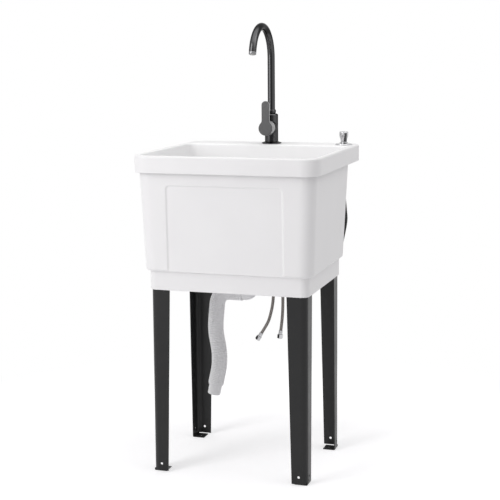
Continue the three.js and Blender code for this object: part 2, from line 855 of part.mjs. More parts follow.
function leverShape() {
  const out = LEVER_HALF_WIDTH + LEVER_FILLET;
  const up = Math.sqrt((HUB_RADIUS + LEVER_FILLET) ** 2 - out ** 2);
  const meet = Math.atan2(up, out);
  const shape = new THREE.Shape();
  shape.moveTo(-LEVER_HALF_WIDTH, up);
  shape.lineTo(-LEVER_HALF_WIDTH, LEVER_TIP - LEVER_HALF_WIDTH);
  shape.absarc(0, LEVER_TIP - LEVER_HALF_WIDTH, LEVER_HALF_WIDTH, Math.PI, 0, true);
  shape.lineTo(LEVER_HALF_WIDTH, up);
  shape.absarc(out, up, LEVER_FILLET, Math.PI, Math.PI + meet, false);
  shape.absarc(0, 0, HUB_RADIUS, meet, Math.PI - meet, true);
  shape.absarc(-out, up, LEVER_FILLET, -meet, 0, false);
  return shape;
}

function handleSolid() {
  const bevel = 0.8;
  const plate = new THREE.ExtrudeGeometry(leverShape(), {
    depth: LEVER_THICKNESS - 2 * bevel,
    bevelThickness: bevel,
    bevelSize: bevel,
    bevelOffset: -bevel,
    bevelSegments: 1,
    curveSegments: 8,
  });
  plate.translate(0, 0, HUB_FACE - LEVER_THICKNESS + bevel);
  const rear = BOSS_FACE - 2;
  const hub = rod(HUB_RADIUS - 0.05, rear, HUB_FACE - 1, SIDES);
  const half = HUB_RADIUS + 2;
  const lean = Math.atan(REAR_SLOPE);
  const rearCut = box(-half, half, -2 * half, 2 * half, -20, 0)
    .rotate([THREE.MathUtils.radToDeg(-lean), 0, 0])
    .translate([0, 0, PIVOT + 0.2]);
  const dome = new THREE.SphereGeometry(HANDLE_BORE, 20, 12);
  dome.rotateX(Math.PI / 2);
  dome.translate(0, 0, PIVOT);
  const open = rod(HANDLE_BORE, rear - 1, PIVOT, 20);
  const socket = STEM_WIDTH / 2 + GAP;
  const stemTop = PIVOT - 5 + STEM_LENGTH + GAP;
  const stemSocket = box(-socket, socket, -socket, socket, PIVOT, stemTop);
  const screwHole = pinAlongY(
    SCREW_RADIUS + GAP,
    -HUB_RADIUS - 1,
    0,
    0,
    SCREW_PLACE,
  );
  const cap = join(solid(plate), hub);
  return carve(cap, rearCut, solid(dome), open, stemSocket, screwHole);
}

function domeNut() {
  const arc = (radius, from, to) =>
    [0, 1, 2, 3, 4].map((i) => {
      const z = from + ((to - from) * i) / 4;
      return [Math.sqrt(radius ** 2 - z ** 2), PIVOT + z];
    });
  const rear = BOSS_FACE - PIVOT;
  const inner = DOME_RADIUS - DOME_WALL;
  const mouthOut = Math.sqrt(DOME_RADIUS ** 2 - DOME_MOUTH ** 2);
  const mouthIn = Math.sqrt(inner ** 2 - DOME_MOUTH ** 2);
  const foot = CARTRIDGE_FRONT + GAP;
  const innerFoot = Math.sqrt(inner ** 2 - rear ** 2);
  return turned(
    [
      [innerFoot, foot],
      [CARTRIDGE_RADIUS, foot],
      [CARTRIDGE_RADIUS, BOSS_FACE - 0.1],
      ...arc(DOME_RADIUS, rear, mouthOut),
      ...arc(inner, mouthIn, rear),
      [innerFoot, foot],
    ],
    20,
  );
}

function cartridgeBody() {
  const bore = rod(TURRET_RADIUS + GAP, CARTRIDGE_BACK + 2, CARTRIDGE_FRONT + 1, SIDES);
  return carve(rod(CARTRIDGE_RADIUS, CARTRIDGE_BACK, CARTRIDGE_FRONT, SIDES), bore);
}

function turretSolid() {
  const slot = STEM_WIDTH / 2 + GAP;
  const foot = CARTRIDGE_BACK + 2 + GAP;
  const fork = box(-slot, slot, -20, 20, PIVOT - 6.5, PIVOT + 10);
  const pinHole = pinAlongX(PIN_RADIUS + GAP, -20, 20, 0, PIVOT);
  return carve(rod(TURRET_RADIUS, foot, PIVOT + 5, SIDES), fork, pinHole);
}

function leverStem() {
  const half = STEM_WIDTH / 2;
  const bar = box(-half, half, -half, half, PIVOT - 5, PIVOT - 5 + STEM_LENGTH);
  return carve(bar, pinAlongX(PIN_RADIUS + GAP, -20, 20, 0, PIVOT));
}

function handleGroup() {
  const group = new THREE.Group();
  group.position.z = HUB_HEIGHT;
  group.rotation.x = Math.PI / 2;
  const reach = Math.sqrt(TURRET_RADIUS ** 2 - (PIN_RADIUS + GAP) ** 2) - 0.2;
  const screwEnd = -STEM_WIDTH / 2 - GAP;
  group.add(
    piece("cartridge_body", cartridgeBody(), acetal),
    piece("cartridge_turret", turretSolid(), acetal),
    piece("cartridge_dome_nut", domeNut(), chrome),
    piece("stem_pin", pinAlongX(PIN_RADIUS, -reach, reach, 0, PIVOT), steel),
    piece("lever_stem", leverStem(), brass),
    piece("handle", handleSolid(), blackSatin),
    piece(
      "handle_set_screw",
      pinAlongY(SCREW_RADIUS, 1 - HUB_RADIUS, screwEnd, 0, SCREW_PLACE),
      steel,
    ),
  );
  return group;
}

function faucetGroup() {
  const group = new THREE.Group();
  group.position.set(FAUCET_X, FAUCET_Y, RIM_HEIGHT);
  group.add(
    ...faucetMounting(),
    piece("faucet_body", faucetBody(), blackGloss),
    piece("spout", spoutSolid(), blackGloss),
    piece("spout_collar", spoutCollar(), blackGloss),
    piece("spout_seal_lower", sealRing(RING_HEIGHTS[0]), rubber),
    piece("spout_seal_upper", sealRing(RING_HEIGHTS[1]), rubber),
    aeratorGroup(),
    handleGroup(),
  );
  return group;
}

// ---------------------------------------------------------------- side sprayer

// Heights are above the deck. The trigger faces this group's -Y.

function holderSolid() {
  return turned(
    [
      [HOLDER_BORE, -HOLDER_DROP],
      [HOLDER_TUBE, -HOLDER_DROP],
      [HOLDER_TUBE, GAP],
      [HOLDER_FLANGE, GAP],
      [HOLDER_FLANGE, GAP + 1.4],
      [HOLDER_FLANGE - 2.5, HOLDER_TOP - 1.4],
      [HOLDER_TUBE + 1.5, HOLDER_TOP],
      [HOLDER_BORE, HOLDER_TOP],
      [HOLDER_BORE, -HOLDER_DROP],
    ],
    SIDES,
  );
}

function triggerSlot() {
  const half = TRIGGER_WIDTH / 2 + GAP;
  const floor = -SPRAYER_BORE - 2;
  return box(-half, half, -HEAD_RADIUS - 4, floor, TRIGGER_FOOT - 1.4, TRIGGER_TOP + 2 * GAP);
}

function sprayerBody() {
  const rest = HOLDER_TOP + GAP;
  const shell = turned(
    [
      [0, -GRIP_DROP],
      [GRIP_RADIUS - 1.2, -GRIP_DROP],
      [GRIP_RADIUS, -GRIP_DROP + 18],
      [GRIP_RADIUS, rest],
      [HOLDER_BORE + 1.7, rest],
      [HOLDER_BORE + 1.7, rest + 1.4],
      [NECK_RADIUS, rest + 2.2],
      [NECK_RADIUS, 12],
      [NECK_RADIUS + 1.1, 17],
      [HEAD_RADIUS - 0.5, 23],
      [HEAD_RADIUS, 27],
      [HEAD_RADIUS, HEAD_TOP - 1.3],
      [HEAD_RADIUS - 1.3, HEAD_TOP],
      [0, HEAD_TOP],
    ],
    SMALL_SIDES,
  );
  const waterway = rod(SPRAYER_BORE, -GRIP_DROP - 1, HEAD_TOP - 6, 12);
  const faceSeat = rod(FACE_RADIUS + GAP, HEAD_TOP - 2.8, HEAD_TOP + 1, SIDES);
  const span = HEAD_RADIUS;
  const pinHole = pinAlongX(1.5, -span, span, -TRIGGER_REACH, TRIGGER_PIVOT);
  return carve(shell, waterway, faceSeat, triggerSlot(), pinHole);
}

function triggerSolid() {
  const half = TRIGGER_WIDTH / 2;
  const side = [
    [-HEAD_RADIUS - 0.4, TRIGGER_TOP - 1],
    [-HEAD_RADIUS + 0.6, TRIGGER_TOP],
    [-8.2, TRIGGER_TOP],
    [-8.2, TRIGGER_PIVOT - 4],
    [-9.9, TRIGGER_PIVOT - 7],
    [-9.9, TRIGGER_FOOT],
    [-12.1, TRIGGER_FOOT],
    [-12.1, TRIGGER_PIVOT - 8],
    [-HEAD_RADIUS - 0.4, TRIGGER_PIVOT - 4],
  ];
  const face = (x) => side.map(([y, z]) => new THREE.Vector3(x, y, z));
  const pinHole = pinAlongX(1.5, -20, 20, -TRIGGER_REACH, TRIGGER_PIVOT);
  return carve(loft([face(-half), face(half)]), pinHole);
}

function sprayerGroup() {
  const group = new THREE.Group();
  group.position.set(SPRAYER_X, SPRAYER_Y, RIM_HEIGHT);
  group.rotation.z = SPRAYER_TURN;
  const washerTop = -DECK_THICKNESS - GAP;
  const nutTop = washerTop - 2 - GAP;
  const couplingTop = -GRIP_DROP - GAP;
  const pinHalf = Math.sqrt(HEAD_RADIUS ** 2 - TRIGGER_REACH ** 2) - 0.6;
  group.add(
    piece("sprayer_holder", holderSolid(), chrome),
    piece(
      "sprayer_holder_washer",
      ring(HOLDER_TUBE + GAP, 20, washerTop - 2, washerTop),
      rubber,
    ),
    piece(
      "sprayer_holder_nut",
      nut(HOLDER_TUBE + GAP, 19.5, nutTop - 9, nutTop, 6),
      acetal,
    ),
    piece("sprayer_body", sprayerBody(), chrome),
    piece(
      "sprayer_face",
      rod(FACE_RADIUS, HEAD_TOP - 2.5, HEAD_TOP - 0.5, SIDES),
      blackSatin,
    ),
    piece("sprayer_valve", rod(SPRAYER_BORE - 0.8, -30, HEAD_TOP - 7, 12), acetal),
    piece("sprayer_trigger", triggerSolid(), blackGloss),
    piece(
      "trigger_pin",
      pinAlongX(1.2, -pinHalf, pinHalf, -TRIGGER_REACH, TRIGGER_PIVOT),
      steel,
    ),
    piece(
      "sprayer_coupling",
      ring(2.5, COUPLING_RADIUS, couplingTop - COUPLING_LENGTH, couplingTop, 16),
      blackSatin,
    ),
  );
  return group;
}

// ---------------------------------------------------------------- strainer and drain

// Heights are above the flange's seat, and radii are round the drain's axis.

function strainerBody() {
  const z = GAP;
  const foot = -CUP_DEPTH;
  return turned([
    [CUP_RADIUS - CUP_WALL, foot + CUP_WALL],
    [TAIL_RADIUS - CUP_WALL, foot + CUP_WALL],
    [TAIL_RADIUS - CUP_WALL, foot - TAIL_LENGTH],
    [TAIL_RADIUS, foot - TAIL_LENGTH],
    [TAIL_RADIUS, foot],
    [CUP_RADIUS, foot + 1.5],
    [CUP_RADIUS, z],
    [FLANGE_RADIUS, z],
    [FLANGE_RADIUS - 0.8, z + FLANGE_THICKNESS],
    [BASKET_LIP + 2, z + FLANGE_THICKNESS],
    [THROAT_RADIUS, z],
    [CUP_RADIUS - CUP_WALL, z - 1.5],
    [CUP_RADIUS - CUP_WALL, foot + CUP_WALL],
  ]);
}

// The basket's seat runs parallel to the strainer's bevelled throat.
function basketSeat(radius) {
  return 2 * GAP + ((radius - THROAT_RADIUS) / (BASKET_LIP + 2 - THROAT_RADIUS)) * FLANGE_THICKNESS;
}

function basketSolid() {
  const seat = basketSeat(BASKET_LIP);
  const foot = seat - BASKET_DEPTH;
  const inner = BASKET_RADIUS - BASKET_WALL;
  return turned([
    [0, foot],
    [BASKET_RADIUS - 6, foot],
    [BASKET_RADIUS, foot + 5],
    [BASKET_RADIUS, basketSeat(BASKET_RADIUS)],
    [BASKET_LIP, seat],
    [BASKET_LIP, seat + BASKET_WALL],
    [inner, basketSeat(inner) + BASKET_WALL],
    [inner, foot + 5.5],
    [BASKET_RADIUS - 7, foot + BASKET_WALL],
    [0, foot + BASKET_WALL],
  ]);
}

function basketKnob() {
  const foot = basketSeat(BASKET_LIP) - BASKET_DEPTH + BASKET_WALL + GAP;
  const top = GAP + FLANGE_THICKNESS + KNOB_RISE;
  return turned(
    [
      [0, foot],
      [6, foot],
      [6, foot + 2],
      [3, foot + 4],
      [3, top - 6],
      [KNOB_RADIUS, top - 4],
      [KNOB_RADIUS, top - 1.5],
      [KNOB_RADIUS - 2, top],
      [0, top],
    ],
    SMALL_SIDES,
  );
}

function elbowSolid() {
  const level = -ELBOW_DROP;
  const socketFoot = -CUP_DEPTH - TAIL_LENGTH - 2;
  const socketTop = socketFoot + SOCKET_DEPTH;
  const ball = (radius) => {
    const geometry = new THREE.SphereGeometry(radius, 16, 12);
    geometry.rotateX(Math.PI / 2);
    return solid(geometry.translate(0, 0, level));
  };
  const run = (radius, from, to, sides) => pinAlongX(radius, from, to, 0, level, sides);
  const outer = join(
    ball(ELBOW_RADIUS),
    rod(ELBOW_RADIUS, level, socketFoot + 1, 16),
    rod(SOCKET_RADIUS, socketFoot - 3, socketTop, SIDES),
    run(ELBOW_RADIUS, -ELBOW_REACH, 0, 16),
    run(NIPPLE_RADIUS, -ELBOW_REACH - NIPPLE_LENGTH, 0, 16),
  );
  const bore = NIPPLE_RADIUS - 2.5;
  return carve(
    outer,
    ball(bore),
    rod(bore, level, socketFoot + 1, 16),
    rod(TAIL_RADIUS + GAP, socketFoot, socketTop + 1, SIDES),
    run(bore, -ELBOW_REACH - NIPPLE_LENGTH - 1, 0, 16),
  );
}

function slipNut() {
  const top = -CUP_DEPTH - 1;
  const foot = top - SLIP_NUT_HEIGHT;
  const outer = rod(SLIP_NUT_RADIUS, foot, top, 16);
  const bore = rod(SOCKET_RADIUS + GAP, foot - 1, top - 3, SIDES);
  return carve(outer, bore, rod(TAIL_RADIUS + GAP, top - 4, top + 1, SIDES));
}

function drainGroup() {
  const group = new THREE.Group();
  group.position.set(DRAIN_X, DRAIN_Y, flangeSeat);
  const bossFoot = drainBossFoot - flangeSeat;
  const washerFoot = bossFoot - GAP - 3;
  const nutTop = washerFoot - GAP;
  const socketTop = -CUP_DEPTH - TAIL_LENGTH - 2 + SOCKET_DEPTH;
  group.add(
    piece("strainer_body", strainerBody(), steel),
    piece(
      "strainer_washer",
      ring(CUP_RADIUS + GAP, LOCK_NUT_RADIUS, washerFoot, washerFoot + 3),
      rubber,
    ),
    piece(
      "strainer_lock_nut",
      nut(CUP_RADIUS + GAP, LOCK_NUT_RADIUS, nutTop - LOCK_NUT_HEIGHT, nutTop, 8),
      greyPlastic,
    ),
    piece("strainer_basket", basketSolid(), steel),
    piece("basket_knob", basketKnob(), steel),
    piece("drain_elbow", elbowSolid(), greyPlastic),
    piece("drain_slip_nut", slipNut(), greyPlastic),
    piece(
      "slip_washer",
      ring(TAIL_RADIUS + GAP, SOCKET_RADIUS, socketTop + GAP, socketTop + 2.5, SIDES),
      rubber,
    ),
  );
  return group;
}

// ---------------------------------------------------------------- hoses

// The drain hose's centre line: out of the elbow, down, and through a shallow S.
const DRAIN_HOSE = [
  [-26.3, 0, 461],
  [-37, 0, 461],
  [-48, 0, 461],
  [-59, 0, 461],
  [-70.5, 0, 461],
  [-83, 0, 458.2],
  [-94, 0, 449.5],
  [-100.6, 0, 437],
  [-103.4, 0, 421],
  [-105.2, 0, 402],
  [-107.2, 0, 382],
  [-108.1, 0, 362],
  [-107.2, 0, 342],
  [-104.2, 0, 323],
  [-100.8, 0, 304],
  [-98.6, 0, 286],
  [-98, 0, 268],
  [-98.8, 0, 252],
  [-100.6, 0, 238.1],
  [-103.6, 0, 223.7],
  [-106.6, 0, 209.4],
  [-109.6, 0, 195],
];

// A circle square to the drain hose's centre line at u.
function hoseCircle(curve, u, radius) {
  const centre = curve.getPointAt(u);
  const tangent = curve.getTangentAt(u);
  const inPlane = new THREE.Vector3(-tangent.z, 0, tangent.x);
  return Array.from({ length: HOSE_SIDES }, (_, i) => {
    const round = (2 * Math.PI * (i + 0.5)) / HOSE_SIDES;
    const point = centre.clone().addScaledVector(inPlane, radius * Math.cos(round));
    point.y += radius * Math.sin(round);
    return point;
  });
}

// Crests and roots outside, a plain bore inside, and flat ends between them.
function drainHose(curve) {
  const ribs = Math.round(curve.getLength() / RIB_PITCH);
  const skin = [];
  for (let i = 0; i <= 2 * ribs; i++) {
    const radius = i % 2 ? HOSE_CREST : HOSE_ROOT;
    skin.push(hoseCircle(curve, i / (2 * ribs), radius));
  }
  const bore = [];
  for (let i = 0; i <= ribs; i += 5) bore.push(hoseCircle(curve, i / ribs, HOSE_BORE));
  if (ribs % 5) bore.push(hoseCircle(curve, 1, HOSE_BORE));
  const rings = [...skin, ...bore.reverse()];
  const positions = rings.flat().flatMap((p) => [p.x, p.y, p.z]);
  const faces = [];
  rings.forEach((_, r) => {
    const next = (r + 1) % rings.length;
    for (let i = 0; i < HOSE_SIDES; i++) {
      const j = (i + 1) % HOSE_SIDES;
      const [a, b] = [r * HOSE_SIDES + i, r * HOSE_SIDES + j];
      const [c, d] = [next * HOSE_SIDES + i, next * HOSE_SIDES + j];
      faces.push(a, b, d, a, d, c);
    }
  });
  const geometry = new THREE.BufferGeometry();
  geometry.setAttribute("position", new THREE.Float32BufferAttribute(positions, 3));
  geometry.setIndex(faces);
  return solid(geometry);
}

// Turns a group so that its +Z runs along heading, from point.
function aim(group, point, heading) {
  group.position.copy(point);
  group.quaternion.setFromUnitVectors(new THREE.Vector3(0, 0, 1), heading);
  return group;
}

function drainHoseGroup() {
  const group = new THREE.Group();
  const curve = hoseCurve(DRAIN_HOSE);
  const cuffHolder = aim(
    new THREE.Group(),
    curve.getPointAt(1),
    curve.getTangentAt(1).normalize(),
  );
  const inner = CUFF_RADIUS - CUFF_WALL;
  const cuff = turned(
    [
      [inner, -8],
      [HOSE_BORE - 1.2, -8],
      [HOSE_BORE - 1.2, GAP],
      [HOSE_ROOT, GAP],
      [HOSE_ROOT, 3],
      [CUFF_RADIUS, 4.5],
      [CUFF_RADIUS, CUFF_LENGTH],
      [inner, CUFF_LENGTH],
      [inner, -8],
    ],
    SIDES,
  );
  cuffHolder.add(piece("drain_cuff", cuff, greyPlastic));
  group.add(piece("drain_hose", drainHose(curve), greyPlastic), cuffHolder);
  return group;
}

// Where a hose enters the faucet's shank, on a circle round the faucet's axis.
function shankPort(degrees, z) {
  const angle = THREE.MathUtils.degToRad(degrees);
  return [
    FAUCET_X + HOSE_CIRCLE * Math.cos(angle),
    FAUCET_Y + HOSE_CIRCLE * Math.sin(angle),
    z,
  ];
}
const hoseTop = RIM_HEIGHT + HOSE_BORE_TOP - GAP;
const hosePortFoot = RIM_HEIGHT - HOSE_PORT_DROP;

// Supply hose's route: x and y from the faucet's axis, and z.
function supplyRoute(degrees, points) {
  const placed = points.map(([x, y, z]) => [FAUCET_X + x, FAUCET_Y + y, z]);
  return [shankPort(degrees, hoseTop), shankPort(degrees, hosePortFoot), ...placed];
}

// Sprayer hose's route: x as a share of the way to the sprayer, y behind the faucet's axis, and z.
function sprayRoute(points) {
  const reach = SPRAYER_X - FAUCET_X;
  const placed = points.map(([x, y, z]) => [FAUCET_X + x * reach, FAUCET_Y + y, z]);
  const top = RIM_HEIGHT - GRIP_DROP - COUPLING_LENGTH - 2 * GAP;
  const start = [SPRAYER_X, SPRAYER_Y, top];
  return [start, ...placed, shankPort(90, hosePortFoot), shankPort(90, hoseTop)];
}

const SUPPLY_LEFT = supplyRoute(210, [
  [-7, -6, 735],
  [-5.2, -7.8, 692],
  [-3, -10, 650],
  [0.4, -12.4, 606],
  [4, -15, 562],
  [7, -17.6, 522],
  [9, -20, 483],
  [10, -21.7, 450],
  [9.8, -23, 419],
  [7.7, -23.7, 396],
  [4, -24, 376],
  [-5, -24, 345],
  [-16, -24, 324],
  [-26, -24, 308],
]);
const SUPPLY_RIGHT = supplyRoute(330, [
  [8, -6, 735],
  [11.3, -7.8, 692],
  [15, -10, 650],
  [19.9, -12.4, 606],
  [25, -15, 562],
  [30, -17.6, 522],
  [34, -20, 483],
  [37.1, -21.7, 450],
  [38.5, -23, 421],
  [38.8, -23.6, 402],
  [38.5, -24, 384],
  [37.5, -24, 366],
  [36, -24, 348],
  [32.5, -24, 320],
]);
const SPRAY_HOSE = sprayRoute([
  [1, 0, 780],
  [1.0187, 1, 732],
  [1.0467, 3, 680],
  [1.0589, 4, 646],
  [1.0467, 5, 606],
  [1, 7, 556],
  [0.8879, 10, 511],
  [0.7009, 12, 484],
  [0.4907, 12, 486],
  [0.2897, 11, 522],
  [0.1402, 9, 580],
  [0.0561, 8, 650],
  [0.014, 7.5, 720],
]);

function hoseCurve(points) {
  const knots = points.map((p) => new THREE.Vector3(...p));
  return new THREE.CatmullRomCurve3(knots, false, "centripetal");
}

function hoseSolid(curve, radius, sides, steps) {
  const section = new THREE.Shape();
  for (let i = 0; i < sides; i++) {
    const angle = (2 * Math.PI * i) / sides;
    const [x, y] = [radius * Math.cos(angle), radius * Math.sin(angle)];
    if (i) section.lineTo(x, y);
    else section.moveTo(x, y);
  }
  section.closePath();
  return solid(new THREE.ExtrudeGeometry(section, { steps, extrudePath: curve }));
}

// A crimped ferrule and a hexagon union nut on a supply hose's lower end.
function hoseEnd(side, curve) {
  const holder = aim(
    new THREE.Group(),
    curve.getPointAt(1),
    curve.getTangentAt(1).normalize(),
  );
  const ferrule = ring(3, FERRULE_RADIUS, GAP, FERRULE_LENGTH, 16);
  const nutFoot = FERRULE_LENGTH + GAP;
  const unionNut = nut(5, END_NUT_RADIUS, nutFoot, nutFoot + END_NUT_LENGTH, 6, 16);
  holder.add(
    piece("supply_ferrule_" + side, ferrule, chrome),
    piece("supply_nut_" + side, unionNut, chrome),
  );
  return holder;
}

function supplyHoses() {
  const group = new THREE.Group();
  for (const [side, points] of [["left", SUPPLY_LEFT], ["right", SUPPLY_RIGHT]]) {
    const curve = hoseCurve(points);
    const hose = hoseSolid(curve, SUPPLY_RADIUS, 8, 30);
    group.add(piece("supply_hose_" + side, hose, braid), hoseEnd(side, curve));
  }
  return group;
}

// ---------------------------------------------------------------- the whole sink

const sink = new THREE.Group();
sink.name = "utility_laundry_sink";
sink.add(piece("tub", tubSolid(), whitePlastic));
for (const leg of eachCorner((corner) =>
  piece("leg_" + corner.name, legSolid(corner), blackSteel),
)) {
  sink.add(leg);
}
sink.add(faucetGroup(), sprayerGroup(), drainGroup(), drainHoseGroup(), supplyHoses());
const sprayHose = hoseSolid(hoseCurve(SPRAY_HOSE), SPRAY_HOSE_RADIUS, 8, 50);
sink.add(piece("sprayer_hose", sprayHose, blackHose));

export default sink;
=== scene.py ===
"""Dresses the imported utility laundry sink: a moulded tub on steel angle legs, with its faucet,
side sprayer, basket strainer, drain hose and supply hoses, and lights it on a white floor."""

import math

import bpy
import numpy as np
from mathutils import Matrix, Vector


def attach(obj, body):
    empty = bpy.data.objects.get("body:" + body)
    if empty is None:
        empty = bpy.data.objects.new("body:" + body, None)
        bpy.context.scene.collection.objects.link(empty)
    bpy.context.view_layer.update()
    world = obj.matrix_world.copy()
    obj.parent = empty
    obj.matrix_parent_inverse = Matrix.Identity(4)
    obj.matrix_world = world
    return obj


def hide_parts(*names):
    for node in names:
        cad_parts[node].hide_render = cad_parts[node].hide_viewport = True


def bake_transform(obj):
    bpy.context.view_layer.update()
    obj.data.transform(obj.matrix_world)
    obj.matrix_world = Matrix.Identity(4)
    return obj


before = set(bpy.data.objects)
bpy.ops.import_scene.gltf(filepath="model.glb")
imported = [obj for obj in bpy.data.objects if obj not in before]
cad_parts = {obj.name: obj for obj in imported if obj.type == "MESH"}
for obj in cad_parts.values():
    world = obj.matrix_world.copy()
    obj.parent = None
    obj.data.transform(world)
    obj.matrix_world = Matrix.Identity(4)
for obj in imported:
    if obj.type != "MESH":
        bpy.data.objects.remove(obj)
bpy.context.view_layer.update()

bl_info = {
    "name": "Utility laundry sink",
    "version": (1, 0, 0),
    "blender": (4, 5, 0),
    "location": "3D View > Sidebar > Sink",
    "description": "Builds a laundry tub with its legs, faucet, sprayer and drain",
    "category": "Object",
}

MM = 0.001  # shells are drawn in millimetres, and meshes are in metres
QUARTER = math.pi / 2
RIM_Z = 864.0
FLOOR_Z = 550.0
SEAT_Z = 545.0  # where the strainer's flange sits, in the tub's floor
HUB_Z = 911.0

AT_FAUCET = Matrix.Translation((0, 196, RIM_Z))
# At the hub, +Z points from the faucet's axis to the user.
AT_HUB = Matrix.Translation((0, 196, HUB_Z)) @ Matrix.Rotation(QUARTER, 4, "X")
AT_SPRAYER = Matrix.Translation((214, 196, RIM_Z)) @ Matrix.Rotation(math.radians(38), 4, "Z")
AT_SEAT = Matrix.Translation((0, 0, SEAT_Z))


# ---------------------------------------------------------------- node trees


class Socket:
    """One socket of a tree in an expression: arithmetic on it adds Math nodes."""

    def __init__(self, tree, socket):
        self.tree = tree
        self.socket = socket

    def math(self, operation, *others):
        return self.tree.math(operation, self, *others)

    def __add__(self, other):
        return self.math("ADD", other)

    def __sub__(self, other):
        return self.math("SUBTRACT", other)

    def __mul__(self, other):
        return self.math("MULTIPLY", other)

    def __truediv__(self, other):
        return self.math("DIVIDE", other)

    def __rsub__(self, other):
        return self.tree.math("SUBTRACT", other, self)

    __radd__ = __add__
    __rmul__ = __mul__

    def between(self, low, high):
        """0 at low and below, 1 at high and above, smooth between them."""
        inputs = {"Value": self, "From Min": low, "From Max": high}
        return self.tree.node("ShaderNodeMapRange", inputs, interpolation_type="SMOOTHSTEP")

    def about(self, middle, width):
        """A number that this noise moves about its middle."""
        return middle + (self - 0.5) * width

    def tones(self, colour, low, high):
        """The colour with a brightness that this noise moves from low to high."""
        return self.tree.blend(self, shade(colour, low), shade(colour, high))


class Tree:
    """Adds nodes to one node tree."""

    def __init__(self, tree):
        self.tree = tree
        tree.nodes.clear()

    def node(self, kind, inputs=None, output=0, **settings):
        """A new node with these settings and these values of or links to its sockets."""
        made = self.tree.nodes.new(kind)
        for name, value in settings.items():
            setattr(made, name, value)
        for name, value in (inputs or {}).items():
            if isinstance(value, Socket):
                self.tree.links.new(value.socket, made.inputs[name])
            else:
                made.inputs[name].default_value = value
        return Socket(self, made.outputs[output]) if len(made.outputs) else made

    def math(self, operation, *values):
        return self.node("ShaderNodeMath", dict(enumerate(values)), operation=operation)

    def vector(self, x=0.0, y=0.0, z=0.0):
        return self.node("ShaderNodeCombineXYZ", {0: x, 1: y, 2: z})

    def apart(self, vector):
        """The three numbers of a vector."""
        split = self.node("ShaderNodeSeparateXYZ", {0: vector}).socket.node
        return [Socket(self, split.outputs[i]) for i in range(3)]

    def blend(self, factor, first, second):
        """A colour between two colours."""
        inputs = {0: factor, 6: first, 7: second}
        return self.node("ShaderNodeMix", inputs, 2, data_type="RGBA")

    def place(self):
        """Where a point lies on its piece, in metres."""
        return self.node("ShaderNodeTexCoord", output="Object")

    def noise(self, scale, detail, stretch=None):
        """Noise of about 0.5 that varies over 1/scale metres, drawn out along an axis."""
        where = self.place()
        if stretch:
            where = self.node("ShaderNodeMapping", {0: where, "Scale": stretch})
        inputs = {"Vector": where, "Scale": scale, "Detail": detail}
        return self.node("ShaderNodeTexNoise", inputs)

    def facing(self):
        """0 where the surface faces the viewer, and 1 where it turns away."""
        return self.node("ShaderNodeLayerWeight", {"Blend": 0.5}, 1)

    def bump(self, height, strength, distance):
        inputs = {"Height": height, "Strength": strength, "Distance": distance}
        return self.node("ShaderNodeBump", inputs)

    def joined(self, *shapes):
        """One geometry from several, in their order."""
        made = self.tree.nodes.new("GeometryNodeJoinGeometry")
        for shape in reversed(shapes):
            self.tree.links.new(shape.socket, made.inputs[0])
        return Socket(self, made.outputs[0])

    def repeated(self, points, shape, turn=(0.0, 0.0, 0.0), lift=None):
        """The shape on each point, turned, and then lifted."""
        inputs = {"Points": points, "Instance": shape, "Rotation": turn}
        made = self.node("GeometryNodeInstanceOnPoints", inputs)
        if lift is None:
            return made
        inputs = {0: made, "Translation": self.vector(z=lift), "Local Space": False}
        return self.node("GeometryNodeTranslateInstances", inputs)

    def circle(self, count, radius):
        return self.node("GeometryNodeMeshCircle", {"Vertices": count, "Radius": radius})

    def drill(self, sides, radius, depth):
        inputs = {"Vertices": sides, "Radius": radius, "Depth": depth}
        return self.node("GeometryNodeMeshCylinder", inputs)

    def drilled(self, shape, drills):
        """The shape with the drills cut out of it."""
        real = self.node("GeometryNodeRealizeInstances", {0: drills})
        inputs = {"Mesh 1": shape, "Mesh 2": real}
        kind = "GeometryNodeMeshBoolean"
        return self.node(kind, inputs, operation="DIFFERENCE", solver="EXACT")


def shade(colour, by):
    """A colour with its brightness multiplied."""
    return tuple(min(max(c * by, 0.0), 1.0) for c in colour[:3]) + (1.0,)


def surface(name, finish, *looks):
    """The material of this name, made once. finish(tree, *looks) gives its shader's sockets."""
    found = bpy.data.materials.get(name)
    if found:
        return found
    made = bpy.data.materials.new(name)
    made.use_nodes = True
    tree = Tree(made.node_tree)
    shader = tree.node("ShaderNodeBsdfPrincipled", finish(tree, *looks))
    tree.node("ShaderNodeOutputMaterial", {"Surface": shader})
    return made


# ---------------------------------------------------------------- finishes


def moulded_plastic(tree, colour, roughness, grain):
    """Moulded plastic: faint cloudiness, and the fine grain of a blasted mould."""
    return {
        "Base Color": tree.noise(9.0, 3.0).tones(colour, 0.975, 1.02),
        "Roughness": tree.noise(70.0, 2.0).about(roughness, 0.12),
        "Normal": tree.bump(tree.noise(1500.0, 1.0), grain, 0.0004),
        "IOR": 1.47,
    }


def basin_plastic(tree, colour, basin):
    """The tub's moulded plastic, smoother inside the basin, where its colour is painted paler as
    painted light that brightens the basin's inside.

    The tub's own attribute "inside" is 1 there."""
    inside = tree.node("ShaderNodeAttribute", output="Fac", attribute_name="inside")
    sockets = moulded_plastic(tree, colour, 0.4, 0.04)
    # Painted light: a paler copy of the plastic is painted over the basin's inside, to brighten
    # it.
    painted_basin_light = tree.noise(9.0, 3.0).tones(basin, 0.98, 1.01)
    sockets["Base Color"] = tree.blend(inside, sockets["Base Color"], painted_basin_light)
    sockets["Roughness"] -= inside * 0.06
    return sockets


def powder_coat(tree, colour):
    """Baked powder paint on sheet steel: satin, with a light orange peel."""
    dust = tree.noise(26.0, 4.0)
    return {
        "Base Color": dust.tones(colour, 0.85, 1.25),
        "Roughness": dust.about(0.36, 0.14),
        "Normal": tree.bump(tree.noise(420.0, 2.0), 0.16, 0.0003),
        "Specular IOR Level": 0.3,
    }


